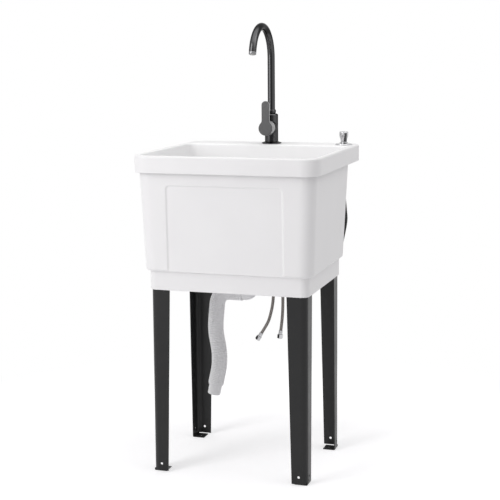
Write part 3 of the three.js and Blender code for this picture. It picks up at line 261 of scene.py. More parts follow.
def black_plating(tree, colour, sheen):
    """Dark plating on brass, with a faint lay of polishing. Where it turns away its colour is
    painted paler: a painted sheen that stands in for reflection.
    """
    lay = tree.noise(60.0, 2.0, (1, 1, 0.06))
    smear = tree.noise(22.0, 3.0)
    facing = tree.facing()
    # Painted sheen: the band where the surface turns away takes the paler colour, a painted
    # reflection.
    band = facing.between(0.012, 0.08) * (1.0 - facing.between(0.34, 0.5))
    plain = smear.tones(colour, 0.9, 1.12)
    return {
        "Base Color": tree.blend(band * (0.85 + smear * 0.3), plain, sheen),
        "Metallic": 1.0,
        "Roughness": lay.about(0.19, 0.04) + (smear - 0.5) * 0.04,
        "Normal": tree.bump(lay, 0.01, 0.0001),
        "Specular Tint": (0.55, 0.55, 0.55, 1.0),
    }


def satin_paint(tree, colour, sheen):
    """Satin paint over metal, with a fine grain. Where it turns away its colour is painted paler:
    a painted sheen that stands in for grazing reflection.
    """
    smear = tree.noise(30.0, 3.0)
    plain = smear.tones(colour, 0.92, 1.1)
    return {
        # Painted sheen: the colour is painted paler where the surface turns away.
        "Base Color": tree.blend(tree.facing().between(0.25, 0.6), plain, sheen),
        "Roughness": smear.about(0.4, 0.1),
        "Normal": tree.bump(tree.noise(1300.0, 1.0), 0.06, 0.0003),
        "Specular IOR Level": 0.8,
    }


def bright_plating(tree, colour):
    """Chrome plate: bright, with faint smears and a slight waviness."""
    smear = tree.noise(34.0, 3.0)
    return {
        "Base Color": smear.tones(colour, 0.94, 1.03),
        "Metallic": 1.0,
        "Roughness": 0.08 + smear * 0.07,
        "Normal": tree.bump(tree.noise(90.0, 1.0), 0.02, 0.0004),
    }


def brushed_metal(tree, colour, roughness):
    """Turned or brushed metal: fine lines round the piece's upright axis."""
    lines = tree.noise(260.0, 3.0, (0.12, 0.12, 4))
    return {
        "Base Color": tree.noise(45.0, 3.0).tones(colour, 0.88, 1.06),
        "Metallic": 1.0,
        "Roughness": lines.about(roughness, 0.16),
        "Normal": tree.bump(lines, 0.06, 0.0003),
    }


def soft_rubber(tree, colour):
    """Black rubber: dull, with a bloom in patches."""
    bloom = tree.noise(55.0, 4.0)
    return {
        "Base Color": bloom.tones(colour, 0.8, 1.5),
        "Roughness": bloom.about(0.62, 0.2),
        "Normal": tree.bump(tree.noise(900.0, 2.0), 0.1, 0.0003),
    }


def ridge(place):
    """1 halfway between two whole numbers, falling evenly to 0 at each."""
    return 1.0 - (place.math("FRACT") - 0.5).math("ABSOLUTE") * 2.0


def wire_braid(tree, colour, dark):
    """Woven wire round a hose: two sets of strands that pass over and under each other. Its colour
    is painted darker where it lies deeper: painted shade in the gaps and on the strand that passes
    under.

    The hose's UV map holds metres along it and turns round it."""
    along, round_it, _ = tree.apart(tree.node("ShaderNodeUVMap", uv_map="hose"))
    strand, strands = 0.0065, 8.0
    one = along / strand + round_it * strands
    two = along / strand - round_it * strands
    over = (one.math("FLOOR") + two.math("FLOOR")).math("PINGPONG", 1.0)
    # Painted shade: the strand that passes under is lowered, and the colour darkens with the
    # lowered height.
    first, second = ridge(one) * (0.6 + over * 0.4), ridge(two) * (1.0 - over * 0.4)
    height = first.math("MAXIMUM", second)
    # Painted shade: the deep places take the dark colour, and the crests the braid's own colour.
    bright = height.between(0.25, 0.85)
    return {
        "Base Color": tree.blend(bright, dark, colour),
        "Metallic": 0.55 + bright * 0.3,
        "Roughness": 0.5 - bright * 0.15,
        "Normal": tree.bump(height, 0.5, 0.0006),
    }


def finishes():
    """Every finish by the record's name for it."""
    look = bpy.context.scene.sink_finishes
    return {
        "tub_plastic": surface("tub plastic", basin_plastic, look.tub, look.basin),
        "leg_steel": surface("leg powder coat", powder_coat, look.legs),
        "faucet_black": surface("faucet black plating", black_plating, look.faucet, look.sheen),
        "handle_black": surface("handle satin black", satin_paint, look.handle, look.handle_sheen),
        "chrome": surface("chrome plate", bright_plating, look.chrome),
        "smoked_chrome": surface("smoked chrome plate", bright_plating, look.smoked),
        "stainless": surface("brushed stainless", brushed_metal, look.stainless, 0.3),
        "brass": surface("turned brass", brushed_metal, look.brass, 0.32),
        "rubber": surface("washer rubber", soft_rubber, look.rubber),
        "hose_rubber": surface("sprayer hose rubber", soft_rubber, look.rubber),
        "drain_plastic": surface("drain plastic", moulded_plastic, look.drain, 0.46, 0.06),
        "acetal": surface("acetal", moulded_plastic, look.acetal, 0.5, 0.03),
        "braid": surface("wire braid", wire_braid, look.braid, look.braid_gap),
    }


# ---------------------------------------------------------------- shells


def grid_shell(rings, close_rings=False, ends=(None, None)):
    """Quads over rings of as many points each. An end is None, "flat" or "pole"."""
    rings = np.asarray(rings, float)
    count, around = rings.shape[:2]
    points = rings.reshape(-1, 3).tolist()
    faces = []
    for row in range(count if close_rings else count - 1):
        below, above = row * around, ((row + 1) % count) * around
        for i in range(around):
            j = (i + 1) % around
            faces.append((below + i, below + j, above + j, above + i))
    for kind, row, step in ((ends[0], 0, -1), (ends[1], count - 1, 1)):
        edge = [row * around + i for i in range(around)][::step]
        if kind == "flat":
            faces.append(tuple(edge))
        elif kind == "pole":
            points.append(rings[row].mean(axis=0).tolist())
            pole = len(points) - 1
            faces += [(edge[i], edge[(i + 1) % around], pole) for i in range(around)]
    return outward((np.array(points), faces))


FLAT_ENDS = ("flat", "flat")
POLES = ("pole", "pole")


def outward(shell):
    """The shell with its faces turned out, judged by the volume that they close."""
    points, faces = shell
    volume = 0.0
    for face in faces:
        first = points[face[0]]
        for i in range(1, len(face) - 1):
            volume += float(np.dot(first, np.cross(points[face[i]], points[face[i + 1]])))
    if volume < 0:
        faces = [tuple(reversed(face)) for face in faces]
    return points, faces


def moved(shell, *places):
    """The shell taken through one place after another."""
    points = shell[0]
    for place in places:
        points = (np.c_[points, np.ones(len(points))] @ np.array(place).T)[:, :3]
    return outward((points, shell[1]))


def joined(*shells):
    points, faces, start = [], [], 0
    for shell in shells:
        points.append(shell[0])
        faces += [tuple(i + start for i in face) for face in shell[1]]
        start += len(shell[0])
    return np.concatenate(points), faces


def eased(profile, radius, closed=False, steps=4):
    """A profile with an arc of this radius at each inner corner. A point may hold its own."""
    count = len(profile)
    out = []
    for i, point in enumerate(profile):
        here = Vector(point[:2])
        fillet = point[2] if len(point) > 2 else radius
        before = Vector(profile[i - 1][:2]) - here
        after = Vector(profile[(i + 1) % count][:2]) - here
        one, two = before.normalized(), after.normalized()
        inner = fillet > 0 and (closed or i not in (0, count - 1))
        half = one.angle(two) / 2 if inner else 0
        if half > 1.56 or half < 0.02:
            out.append(tuple(here))
            continue
        cut = min(fillet / math.tan(half), 0.48 * before.length, 0.48 * after.length)
        centre = here + (one + two).normalized() * (cut / math.cos(half))
        start, end = here + one * cut - centre, here + two * cut - centre
        sweep = start.angle_signed(end)
        for step in range(steps + 1):
            turn = -sweep * step / steps
            cosine, sine = math.cos(turn), math.sin(turn)
            x = start.x * cosine - start.y * sine
            y = start.x * sine + start.y * cosine
            out.append((centre.x + x, centre.y + y))
    return out


def circle_points(radius, sides=64, z=0.0, turns=None):
    """A circle of points at height z, at even angles or at these."""
    turns = np.arange(sides) * 2 * math.pi / sides if turns is None else turns
    return np.c_[radius * np.cos(turns), radius * np.sin(turns), np.full(len(turns), z)]


def turned(profile, radius=0.4, sides=64, closed=False, steps=4):
    """A profile of (radius, height) turned about Z, with eased corners and closed poles."""
    line = eased(profile, radius, closed, steps)
    rings = [circle_points(r, sides, z) for r, z in line if r > 1e-6]
    ends = ["pole" if not closed and line[i][0] <= 1e-6 else None for i in (0, -1)]
    return grid_shell(rings, closed, ends)


def rod(radius, low, high, ease, sides=64):
    return turned([(0, low), (radius, low), (radius, high), (0, high)], ease, sides)


def tube_ring(inner, outer, low, high, radius=0.3, sides=64):
    """A plain ring with eased edges."""
    profile = [(inner, low), (outer, low), (outer, high), (inner, high)]
    return turned(profile, radius, sides, closed=True, steps=3)


def at_height(line, z):
    """A flat outline's points at height z."""
    return np.c_[line, np.full(len(line), z)]


def bar(x0, x1, y0, y1, z0, z1, radius=0.5):
    """A block with eased upright edges and small bevels at its ends."""
    middle = np.array([(x0 + x1) / 2, (y0 + y1) / 2])
    size = np.array([x1 - x0, y1 - y0])
    line = np.array(eased([(x0, y0), (x1, y0), (x1, y1), (x0, y1)], radius, True, 3))
    levels = ((radius, z0), (0, z0 + radius), (0, z1 - radius), (radius, z1))
    rings = [at_height(middle + (line - middle) * (size - 2 * i) / size, z) for i, z in levels]
    return grid_shell(rings, ends=FLAT_ENDS)


def prism(outline, low, high, bevel, steps=3):
    """A flat outline of (x, y) raised from low to high, with rounded edges."""
    line = np.array(outline, float)
    following = np.roll(line, -1, axis=0)
    if np.sum(line[:, 0] * following[:, 1] - line[:, 1] * following[:, 0]) < 0:
        line = line[::-1]
    ahead = np.roll(line, -1, axis=0) - line
    ahead /= np.linalg.norm(ahead, axis=1)[:, None]
    mean = ahead + np.roll(ahead, 1, axis=0)
    mean /= np.linalg.norm(mean, axis=1)[:, None]
    inward = np.c_[-mean[:, 1], mean[:, 0]]
    levels = []
    for step in range(steps + 1):
        angle = QUARTER * step / steps
        levels.append((bevel * (1 - math.sin(angle)), low + bevel * (1 - math.cos(angle))))
    levels += [(inset, high - (z - low)) for inset, z in levels[::-1]]
    return grid_shell([at_height(line + inward * i, z) for i, z in levels], ends=FLAT_ENDS)


def nut_shell(bore, radius, low, high, corner=QUARTER):
    """A hexagon nut whose corners are turned off at both ends, round a plain bore."""
    sides, half = 72, math.pi / 6
    angles = np.arange(sides) * 2 * math.pi / sides
    reach = radius * math.cos(half) / np.cos(((angles - corner) % (2 * half)) - half)
    rings = []
    for inset, z in ((1.2, low), (0.0, low + 1.4), (0.0, high - 1.4), (1.2, high)):
        rings.append(circle_points(np.minimum(reach, radius - 1.2 * inset), sides, z))
    rings += [circle_points(bore, sides, z) for z in (high, low)]
    return grid_shell(rings, True)


def hole(radius, x, y, z, axis, length=8.0):
    """A cutter for a round hole."""
    turns = {
        "X": Matrix.Rotation(QUARTER, 4, "Y"),
        "Y": Matrix.Rotation(QUARTER, 4, "X"),
        "Z": Matrix.Identity(4),
    }
    place = Matrix.Translation((x, y, z)) @ turns[axis]
    return moved(rod(radius, -length, length, 0, 28), place)


# ---------------------------------------------------------------- objects


def linked(name, data):
    """A new object at the origin, in the scene."""
    made = bpy.data.objects.new(name, data)
    bpy.context.scene.collection.objects.link(made)
    return made


def mesh_object(name, shell, uv=None):
    """An object whose mesh has these points, given in millimetres."""
    points, faces = shell
    mesh = bpy.data.meshes.new(name)
    mesh.from_pydata((np.asarray(points) * MM).tolist(), [], faces)
    if uv is not None:
        layer = mesh.uv_layers.new(name="hose")
        layer.data.foreach_set("uv", np.asarray(uv, np.float32).ravel())
    mesh.update()
    return linked(name, mesh)


def modified(thing, kind, **settings):
    """Adds a modifier to a piece."""
    modifier = thing.modifiers.new(kind.lower(), kind)
    for name, value in settings.items():
        setattr(modifier, name, value)
    return thing


def evaluated_mesh(thing):
    graph = bpy.context.evaluated_depsgraph_get()
    return bpy.data.meshes.new_from_object(thing.evaluated_get(graph))


def settled(thing):
    """The piece with its modifiers made part of its mesh."""
    old, mesh = thing.data, evaluated_mesh(thing)
    thing.modifiers.clear()
    thing.data = mesh
    bpy.data.meshes.remove(old)
    mesh.name = thing.name
    return thing


def smoothed(thing, angle=32.0, flats=True):
    """Shades a piece smooth, but for edges that turn more than this, and keeps its flats flat."""
    mesh = thing.data
    mesh.polygons.foreach_set("use_smooth", [True] * len(mesh.polygons))
    mesh.set_sharp_from_angle(angle=math.radians(angle))
    return settled(modified(thing, "WEIGHTED_NORMAL", keep_sharp=True)) if flats else thing


def cut_by(thing, *cutters):
    """Takes the cutters out of a piece, exactly."""
    tools = [mesh_object(f"{thing.name} cutter", cutter) for cutter in cutters]
    for tool in tools:
        modified(thing, "BOOLEAN", operation="DIFFERENCE", solver="EXACT", object=tool)
    settled(thing)
    for tool in tools:
        bpy.data.meshes.remove(tool.data)
    return thing


def shell_of(thing):
    """A piece's mesh as a shell in millimetres. The piece itself goes."""
    mesh = thing.data
    faces = [tuple(face.vertices) for face in mesh.polygons]
    points = np.array([vertex.co / MM for vertex in mesh.vertices])
    bpy.data.meshes.remove(mesh)
    return points, faces


def edges_eased(thing, width, angle):
    """Rounds a piece's edges that turn more than this angle, by this many millimetres."""
    limit = {"limit_method": "ANGLE", "angle_limit": math.radians(angle)}
    return settled(modified(thing, "BEVEL", width=width * MM, segments=2, **limit))


def fitted(thing, body, finish):
    """Gives a piece its finish, hides the CAD node that it stands for, and, if it has one, sets it
    on the body that it rides on.
    """
    thing.data.materials.clear()
    thing.data.materials.append(finishes()[finish])
    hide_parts(thing.name.removesuffix("_piece"))
    "chrome" if finish == "smoked_chrome" else finish
    if body:
        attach(thing, body)
    return thing


def dressed(name, body, finish, shell, *places):
    """A finished piece from a shell."""
    piece = mesh_object(name + "_piece", moved(shell, *places) if places else shell)
    return fitted(smoothed(piece), body, finish)


def relocated(thing, place):
    """Takes a piece that was drawn round the origin to its place, given in millimetres."""
    matrix = place.copy()
    matrix.translation = place.translation * MM
    thing.data.transform(matrix)
    return thing


def grown(name, start, build, finish, **values):
    """A plain mesh from a Geometry Nodes tree that build(tree, sockets) fills.

    values are the tree's named inputs, and its finish is one more."""
    values["Finish"] = finishes()[finish]
    group = bpy.data.node_groups.new(name, "GeometryNodeTree")
    face = group.interface
    for direction in ("OUTPUT", "INPUT"):
        face.new_socket("Geometry", in_out=direction, socket_type="NodeSocketGeometry")
    kinds = {float: "Float", int: "Int", bpy.types.Material: "Material"}
    identifiers = {}
    for label, value in values.items():
        kind = "NodeSocket" + kinds[type(value)]
        identifiers[label] = face.new_socket(label, in_out="INPUT", socket_type=kind).identifier
    tree = Tree(group)
    inlet = tree.node("NodeGroupInput").socket.node
    sockets = {socket.name: Socket(tree, socket) for socket in inlet.outputs if socket.name}
    real = tree.node("GeometryNodeRealizeInstances", {0: build(tree, sockets)})
    painted = tree.node("GeometryNodeSetMaterial", {0: real, "Material": sockets["Finish"]})
    tree.node("NodeGroupOutput", {0: painted})
    modifier = start.modifiers.new(name, "NODES")
    modifier.node_group = group
    for label, value in values.items():
        modifier[identifiers[label]] = value
    mesh = evaluated_mesh(start)
    mesh.name = name
    bpy.data.objects.remove(start)
    return linked(name + "_piece", mesh)


# ---------------------------------------------------------------- the tub

RIM = dict(x0=-254.0, x1=254.0, y0=-253.0, y1=253.0, front=45.0, back=45.0)
BASIN_TOP = dict(x0=-244.0, x1=244.0, y0=-243.0, y1=160.0, front=36.0, back=30.0)
BASIN_FOOT = dict(x0=-232.0, x1=232.0, y0=-231.0, y1=138.0, front=36.0, back=30.0)
SKIRT = dict(x0=-220.0, x1=220.0, y0=-219.0, y1=135.5, front=22.0, back=22.0)
BODY_FOOT = 563.0
BASIN_WALL = 5.0
BASIN_FILLET = 22.0
RIM_ROLL = 5.0
PANEL_HALF = 160.0
PANEL_TOP = 787.0
PANEL_CORNER = 12.0
PANEL_RECESS = 2.5

# Where points lie along the front: close together at the panel's edges.
PANEL_EDGE = np.arange(134.0, 165.0, 1.5)
FRONT_PLACES = np.concatenate([-PANEL_EDGE[::-1], np.linspace(-132.0, 132.0, 25), PANEL_EDGE])

# The heights of the tub's rings, each with how far it is pulled in: down the rim's apron and
# up its inside, down the skirt and up its inside, and round the floor's outlet.
APRON_LEVELS = [(850,), (840,), (830,), (820.2,), (818.6, 0.4), (818, 1.4), (818, 3.4)]
APRON_LEVELS += [(818.5, 4.3), (819.4, 4.5), (838, 4.5), (856, 4.5), (858.2, 5.3), (859, 7.4)]
SKIRT_LEVELS = [(553.4, -0.9), (552.2,), (540,), (528,), (516,), (505.2,), (503.6, 0.4)]
SKIRT_LEVELS += [(503, 1.2), (503, 2.5), (503.6, 3.3), (504.6, 3.5), (524, 3.5), (541.6, 3.5)]
SKIRT_LEVELS += [(543.4, 4.3), (544, 6.0)]
OUTLET_RINGS = [(32, 536), (32, 544.6), (32.4, 545), (43.4, 545), (44, 545.6), (44, 547)]
OUTLET_RINGS += [(44.6, 547.5), (60, 548.1), (80, 548.9), (98, 549.6), (109, 550)]
BOSS_RINGS = [(51.5, 544), (50, 542.6), (50, 537), (49.4, 536.2), (48.6, 536), (40, 536)]


# The ribs of a leg's socket in plan, inwards from the leg's outer corner: x, then y.
SOCKET_RIBS = [(22, 49, 2.3, 5.3), (2.3, 5.3, 22, 49), (22, 25, -2, -0.3), (-2, -0.3, 22, 25)]


def basin_plan(z):
    """The basin's outer outline at a height, leaning in from its top to its foot."""
    down = (RIM_Z - z) / (RIM_Z - BODY_FOOT)
    return {key: BASIN_TOP[key] + (BASIN_FOOT[key] - BASIN_TOP[key]) * down for key in BASIN_TOP}


def plan_ring(plan, z, inset=0.0):
    """A rectangle with round corners at height z, pulled in all round by inset."""
    corners = [("x1", "y1", "back"), ("x0", "y1", "back"), ("x0", "y0", "front")]
    corners.append(("x1", "y0", "front"))
    middle_x = (plan["x0"] + plan["x1"]) / 2
    middle_y = (plan["y0"] + plan["y1"]) / 2
    arcs = []
    for quarter, keys in enumerate(corners):
        x, y, corner = (plan[key] for key in keys)
        radius = max(corner - inset, 2.0)
        cx = x - math.copysign(inset + radius, x - middle_x)
        cy = y - math.copysign(inset + radius, y - middle_y)
        angles = (quarter + np.linspace(0, 1, 13)) * math.pi / 2
        arcs.append(np.c_[cx + radius * np.cos(angles), cy + radius * np.sin(angles)])
    pieces = []
    shares = np.linspace(0, 1, 31)[1:-1, None]
    for number, arc in enumerate(arcs):
        start, end = arc[-1], arcs[(number + 1) % 4][0]
        side = start + (end - start) * shares
        if number == 2:
            reach = np.linspace(start[0], FRONT_PLACES[0], 6)[1:-1]
            xs = np.concatenate([reach, FRONT_PLACES, -reach[::-1]])
            side = at_height(xs, start[1])
        pieces += [arc, side]
    return at_height(np.concatenate(pieces), z)


def basin_ring(z, inset=0.0):
    return plan_ring(basin_plan(z), z, inset)


def wall_ring(z, inset=0.0):
    """The basin's outer wall at a height, with the panel sunk into its front."""
    made = plan_ring(basin_plan(max(z, BODY_FOOT)), z, inset)
    across = np.abs(made[:, 0]) - (PANEL_HALF - PANEL_CORNER)
    up = np.full_like(across, z - (PANEL_TOP - PANEL_CORNER))
    beyond = np.hypot(np.maximum(across, 0), np.maximum(up, 0))
    within = PANEL_CORNER - (beyond + np.minimum(np.maximum(across, up), 0))
    share = np.clip((within + 0.6) / 5.0, 0, 1)
    depth = PANEL_RECESS * share * share * (3 - 2 * share)
    front = made[:, 1] < BASIN_TOP["y0"] + 30
    made[:, 1] += np.maximum(depth * front - inset, 0.0)
    return made


def between(first, second, steps):
    """Rings that change one ring into another, without the two themselves."""
    shares = np.linspace(0, 1, steps + 2)[1:-1]
    return [first + (second - first) * share for share in shares]


def arc_levels(count):
    return [QUARTER * i / count for i in range(count + 1)]


def tub_rings():
    """The tub's whole skin, from the drain hole out over the rim and back in underneath.

    With the rings goes the number of them that lie inside the basin."""
    floor_edge = plan_ring(basin_plan(BODY_FOOT), FLOOR_Z, BASIN_WALL + BASIN_FILLET)
    angles = np.arctan2(floor_edge[:, 1], floor_edge[:, 0])

    def circles(rows):
        return [circle_points(radius, z=z, turns=angles) for radius, z in rows]

    rings = circles(OUTLET_RINGS)
    rings += between(rings[-1], floor_edge, 7)
    for angle in arc_levels(10):
        z = FLOOR_Z + BASIN_FILLET * (1 - math.cos(angle))
        rings.append(basin_ring(z, BASIN_WALL + BASIN_FILLET * (1 - math.sin(angle))))
    rings += [basin_ring(z, BASIN_WALL) for z in np.linspace(590, 850, 14)]
    for angle in arc_levels(7):
        z = RIM_Z - RIM_ROLL * (1 - math.sin(angle))
        rings.append(basin_ring(z, BASIN_WALL - RIM_ROLL * (1 - math.cos(angle))))
    inside = len(rings)
    edge = plan_ring(RIM, RIM_Z, RIM_ROLL)
    rings += between(rings[-1], edge, 8) + [edge]
    for angle in arc_levels(7)[1:]:
        z = RIM_Z - RIM_ROLL * (1 - math.cos(angle))
        rings.append(plan_ring(RIM, z, RIM_ROLL * (1 - math.sin(angle))))
    rings += [plan_ring(RIM, *level) for level in APRON_LEVELS]
    meet = basin_ring(859, -1.6)
    rings += between(rings[-1], meet, 5) + [meet, basin_ring(857.4)]
    levels = [848, 836, 824, 812, 802, 795, 791]
    levels += [*np.arange(789.0, 761.0, -1.5), *np.linspace(752, 576, 17), 569]
    rings += [wall_ring(z) for z in levels]
    for angle in arc_levels(8):
        rings.append(wall_ring(BODY_FOOT - 9 * math.sin(angle), 8.1 * (1 - math.cos(angle))))
    rings += [plan_ring(SKIRT, *level) for level in SKIRT_LEVELS]
    boss = circles(BOSS_RINGS)
    return rings + between(rings[-1], boss[0], 6) + boss, inside


def corner_place(sx, sy):
    """Takes a shape drawn inwards from a leg's outer corner to its corner of the skirt."""
    corner = (215.5 * sx, -214.5 if sy < 0 else 131.0, 0)
    return Matrix.Translation(corner) @ Matrix.Diagonal((-sx, -sy, 1, 1))


def tub_ribs():
    """The ribs inside the skirt that grip the legs' webs, and the ribs under the deck."""
    shells = []
    for corner in ((-1, -1), (-1, 1), (1, -1), (1, 1)):
        place = corner_place(*corner)
        shells += [moved(bar(*plan, 507, 545), place) for plan in SOCKET_RIBS]
    return shells + [bar(x - 1.5, x + 1.5, 156, 249.5, 831, 860) for x in (-150, -70, 70, 150)]


def make_tub():
    """The moulded tub, with the mark that tells its finish where the basin's inside is, which the
    finish paints paler as painted light.
    """
    rings, inside = tub_rings()
    tub = joined(grid_shell(rings, True), *tub_ribs())
    tub = dressed("tub", "sink", "tub_plastic", tub)
    marks = np.zeros(len(tub.data.vertices), np.float32)
    marks[: inside * len(rings[0])] = 1.0
    tub.data.attributes.new("inside", "FLOAT", "POINT").data.foreach_set("value", marks)


# ---------------------------------------------------------------- the legs

LEG_TOP = 543.7
LEG_STEEL = 2
LEG_BEND = 17
LEG_HOLE = 3.4


def angle_section(z):
    """The bent angle's outline at a height, with its outer corner at the origin."""
    web = 42 + 13 * z / LEG_TOP
    turns = np.linspace(0, 1, 13) * math.pi / 2

    def bend(radius, angles):
        return [(LEG_BEND + radius * math.cos(a), LEG_BEND + radius * math.sin(a)) for a in angles]

    line = [(web, 0), (web - 4, 0), *bend(LEG_BEND, 1.5 * math.pi - turns)]
    line += [(0, web), (LEG_STEEL, web), *bend(LEG_BEND - LEG_STEEL, math.pi + turns)]
    return at_height(np.array(line + [(web, LEG_STEEL)]), z)


def foot_tab():
    """The web's foot, bent in to lie on the floor."""
    line = eased([(0, 6), (0, 0, 3.4), (35, 0), (35, 2), (2, 2, 1.4), (2, 6)], 0.0, True, 8)
    rings = [[(x, y, z) for x, z in line] for y in np.linspace(6, 42.14, 5)]
    return grid_shell(rings, ends=FLAT_ENDS)


def make_legs():
    for front, sy in (("front", -1), ("back", 1)):
        for side, sx in (("left", -1), ("right", 1)):
            make_leg(f"leg_{front}_{side}", sx, sy)


def make_leg(name, sx, sy):
    """A leg of bent sheet steel, with the holes of its web and its foot."""
    levels = [0, 40, 120, 200, 280, 360, 440, LEG_TOP]
    web = mesh_object("web", grid_shell([angle_section(z) for z in levels], ends=FLAT_ENDS))
    slit, clear = bar(-1, 60, -1, 6, -1, 3, 0.01), bar(-1, 2.6, 5, 60, -1, 6, 0.01)
    screws = hole(LEG_HOLE, 23, 1, 22, "Y"), hole(LEG_HOLE, 1, 23, 22, "X")
    cut_by(web, slit, clear, *screws, hole(2.0, 1, 19, 11, "X"))
    foot = cut_by(mesh_object("foot", foot_tab()), hole(LEG_HOLE, 21, 27, 1, "Z"))
    shells = [moved(shell_of(piece), corner_place(sx, sy)) for piece in (web, foot)]
    leg = edges_eased(mesh_object(name + "_piece", joined(*shells)), 0.35, 55)
    fitted(smoothed(leg, 40), "sink", "leg_steel")


# ---------------------------------------------------------------- the faucet

SHANK_CLEAR = 16.3


def threaded(inner, outer, low, high, pitch):
    """A tube whose outside has rings at a thread's pitch."""
    profile = [(inner, low), (outer - 0.8, low)]
    z = low + 0.8
    while z + pitch < high - 6:
        profile += [(outer, z, 0.1), (outer - 0.7, z + pitch / 2, 0.1)]
        z += pitch
    profile += [(outer, z), (outer, high), (inner, high)]
    return turned(profile, 0.2, 64, True, 2)


def make_faucet():
    """The faucet's barrel with its boss, and its mounting, from the gasket down to the nut."""
    plate = [(SHANK_CLEAR, 1.6), (29, 1.6, 0.3), (28.2, 3.1, 1.2), (22.4, 4.9, 1.5)]
    plate = turned(plate + [(20.2, 5.6, 0.3), (SHANK_CLEAR, 5.6)], 0.2, 96, True)
    for name, finish, shell in (
        ("faucet_gasket", "rubber", tube_ring(SHANK_CLEAR, 27, 0.3, 1.3)),
        ("faucet_base_plate", "faucet_black", plate),
        ("faucet_shank", "brass", threaded(13.0, 16.0, -60.4, 5.6, 1.5)),
        ("shank_rubber_washer", "rubber", tube_ring(SHANK_CLEAR, 26, -8.3, -5.3)),
        ("shank_steel_washer", "stainless", tube_ring(SHANK_CLEAR, 25, -10.1, -8.6)),
        ("shank_nut", "brass", nut_shell(SHANK_CLEAR, 24, -22.4, -10.4)),
    ):
        dressed(name, "sink", finish, shell, AT_FAUCET)
    barrel = [(0, 5.9), (19.2, 5.9), (19.2, 82.5, 1.6), (17.2, 85.2, 3.0), (13.3, 86.5), (0, 86.5)]
    boss = [(0, 0), (19.6, 0), (19.6, 29, 0.5), (17.5, 29, 0.3), (17.5, 12.2, 0), (0, 12.2)]
    barrel = moved(turned(barrel, 0.4, 96, steps=6), AT_FAUCET)
    body = joined(barrel, moved(turned(boss, 0.3, 96), AT_HUB))
    dressed("faucet_body", "sink", "faucet_black", body)


SPOUT_RADIUS = 10.45
SPOUT_BORE = 8.6
SPOUT_RISE = 245.0
SPOUT_BEND = 88.6
SPOUT_SWEEP = math.radians(166)
OUTLET_HEADING = np.array([-math.sin(SPOUT_SWEEP), math.cos(SPOUT_SWEEP)])


def spout_line(angle):
    """A point on the gooseneck's bend, in the plane of the faucet and its outlet."""
    y = -SPOUT_BEND * (1 - math.cos(angle))
    return y, SPOUT_RISE + SPOUT_BEND * math.sin(angle)


def spout_ring(y, z, angle, radius):
    """A ring square to a line that turns from up to the front by angle."""
    turn = np.arange(56) * 2 * math.pi / 56
    out = radius * np.sin(turn)
    return np.c_[radius * np.cos(turn), y + out * math.cos(angle), z + out * math.sin(angle)]


def make_spout():
    """The gooseneck with its spigot, its collar and its seals."""
    rings = [spout_ring(0, 86.8, 0, SPOUT_RADIUS - 0.5), spout_ring(0, 87.3, 0, SPOUT_RADIUS)]
    rings += [spout_ring(0, z, 0, SPOUT_RADIUS) for z in np.linspace(100, SPOUT_RISE, 9)]
    for angle in np.linspace(0, SPOUT_SWEEP, 73)[1:]:
        rings.append(spout_ring(*spout_line(angle), angle, SPOUT_RADIUS))
    mouth = [(1.6, SPOUT_RADIUS), (2, SPOUT_RADIUS - 0.4), (2, SPOUT_BORE + 0.3)]
    for reach, size in (*mouth, (1.7, SPOUT_BORE), (-10, SPOUT_BORE)):
        spot = np.array(spout_line(SPOUT_SWEEP)) + OUTLET_HEADING * reach
        rings.append(spout_ring(*spot, SPOUT_SWEEP, size))
    spigot = [(6, 40.5), (9.2, 40.5, 0.8), (9.2, 48.7), (7.9, 48.7), (7.9, 51.3), (9.2, 51.3)]
    spigot += [(9.2, 60.7), (7.9, 60.7), (7.9, 63.3), (9.2, 63.3), (9.2, 87.2), (6, 87.2)]
    tube = joined(grid_shell(rings, ends=POLES), turned(spigot, 0.15, 64, True, 2))
    dressed("spout", "spout_assembly", "faucet_black", tube, AT_FAUCET)
    collar = [(10.9, 86.8), (11.9, 86.8, 0.4), (12.9, 89.2, 1.5)]
    collar += [(13.3, 92.3, 3), (12.9, 95.4, 1.5), (11.9, 97.8, 0.4), (10.9, 97.8)]
    collar = turned(collar, 0.3, 96, True)
    dressed("spout_collar", "spout_assembly", "faucet_black", collar, AT_FAUCET)
    for name, height in (("spout_seal_lower", 50), ("spout_seal_upper", 62)):
        band = tube_ring(8.0, 9.3, height - 1, height + 1, 0.6)
        dressed(name, "spout_assembly", "rubber", band, AT_FAUCET)


def make_aerator():
    """The ring on the outlet, and the screen inside it."""
    y, z = spout_line(SPOUT_SWEEP)
    outlet = Matrix.Translation((0, y + OUTLET_HEADING[0] * 2, z + OUTLET_HEADING[1] * 2))
    place = AT_FAUCET @ outlet @ Matrix.Rotation(SPOUT_SWEEP, 4, "X")
    housing = [(7.1, -5), (8, -5), (8, 0.3), (10.45, 0.3, 0.3), (10.45, 2.2, 0.2)]
    housing += [(10.1, 2.6, 0.2), (10.45, 3.0, 0.2), (10.45, 7.2, 0.7), (9.4, 8, 0.5)]
    housing += [(7.9, 8, 0.4), (7.1, 7.2, 0.2)]
    housing = turned(housing, 0.15, 80, True, 3)
    dressed("aerator_housing", "spout_assembly", "smoked_chrome", housing, place)
    base = mesh_object("screen disc", rod(6.8, 1, 7, 0.3))
    sizes = {"Pitch": 1.5 * MM, "Hole": 0.45 * MM, "Top": 7 * MM}
    screen = grown("aerator_screen", base, perforations, "acetal", **sizes)
    fitted(smoothed(relocated(screen, place), flats=False), "spout_assembly", "acetal")


def six_more(tree, pitch):
    """Points on four rings, a pitch apart, each ring with six more than the last."""
    return tree.joined(*[tree.circle(6 * ring, pitch * float(ring)) for ring in range(1, 5)])


def perforations(tree, sockets):
    """Rings of round dimples drilled into the start piece from its top."""
    drill = tree.drill(10, sockets["Hole"], 4 * MM)
    drills = tree.repeated(six_more(tree, sockets["Pitch"]), drill, lift=sockets["Top"])
    return tree.drilled(sockets["Geometry"], drills)


# ---------------------------------------------------------------- the handle


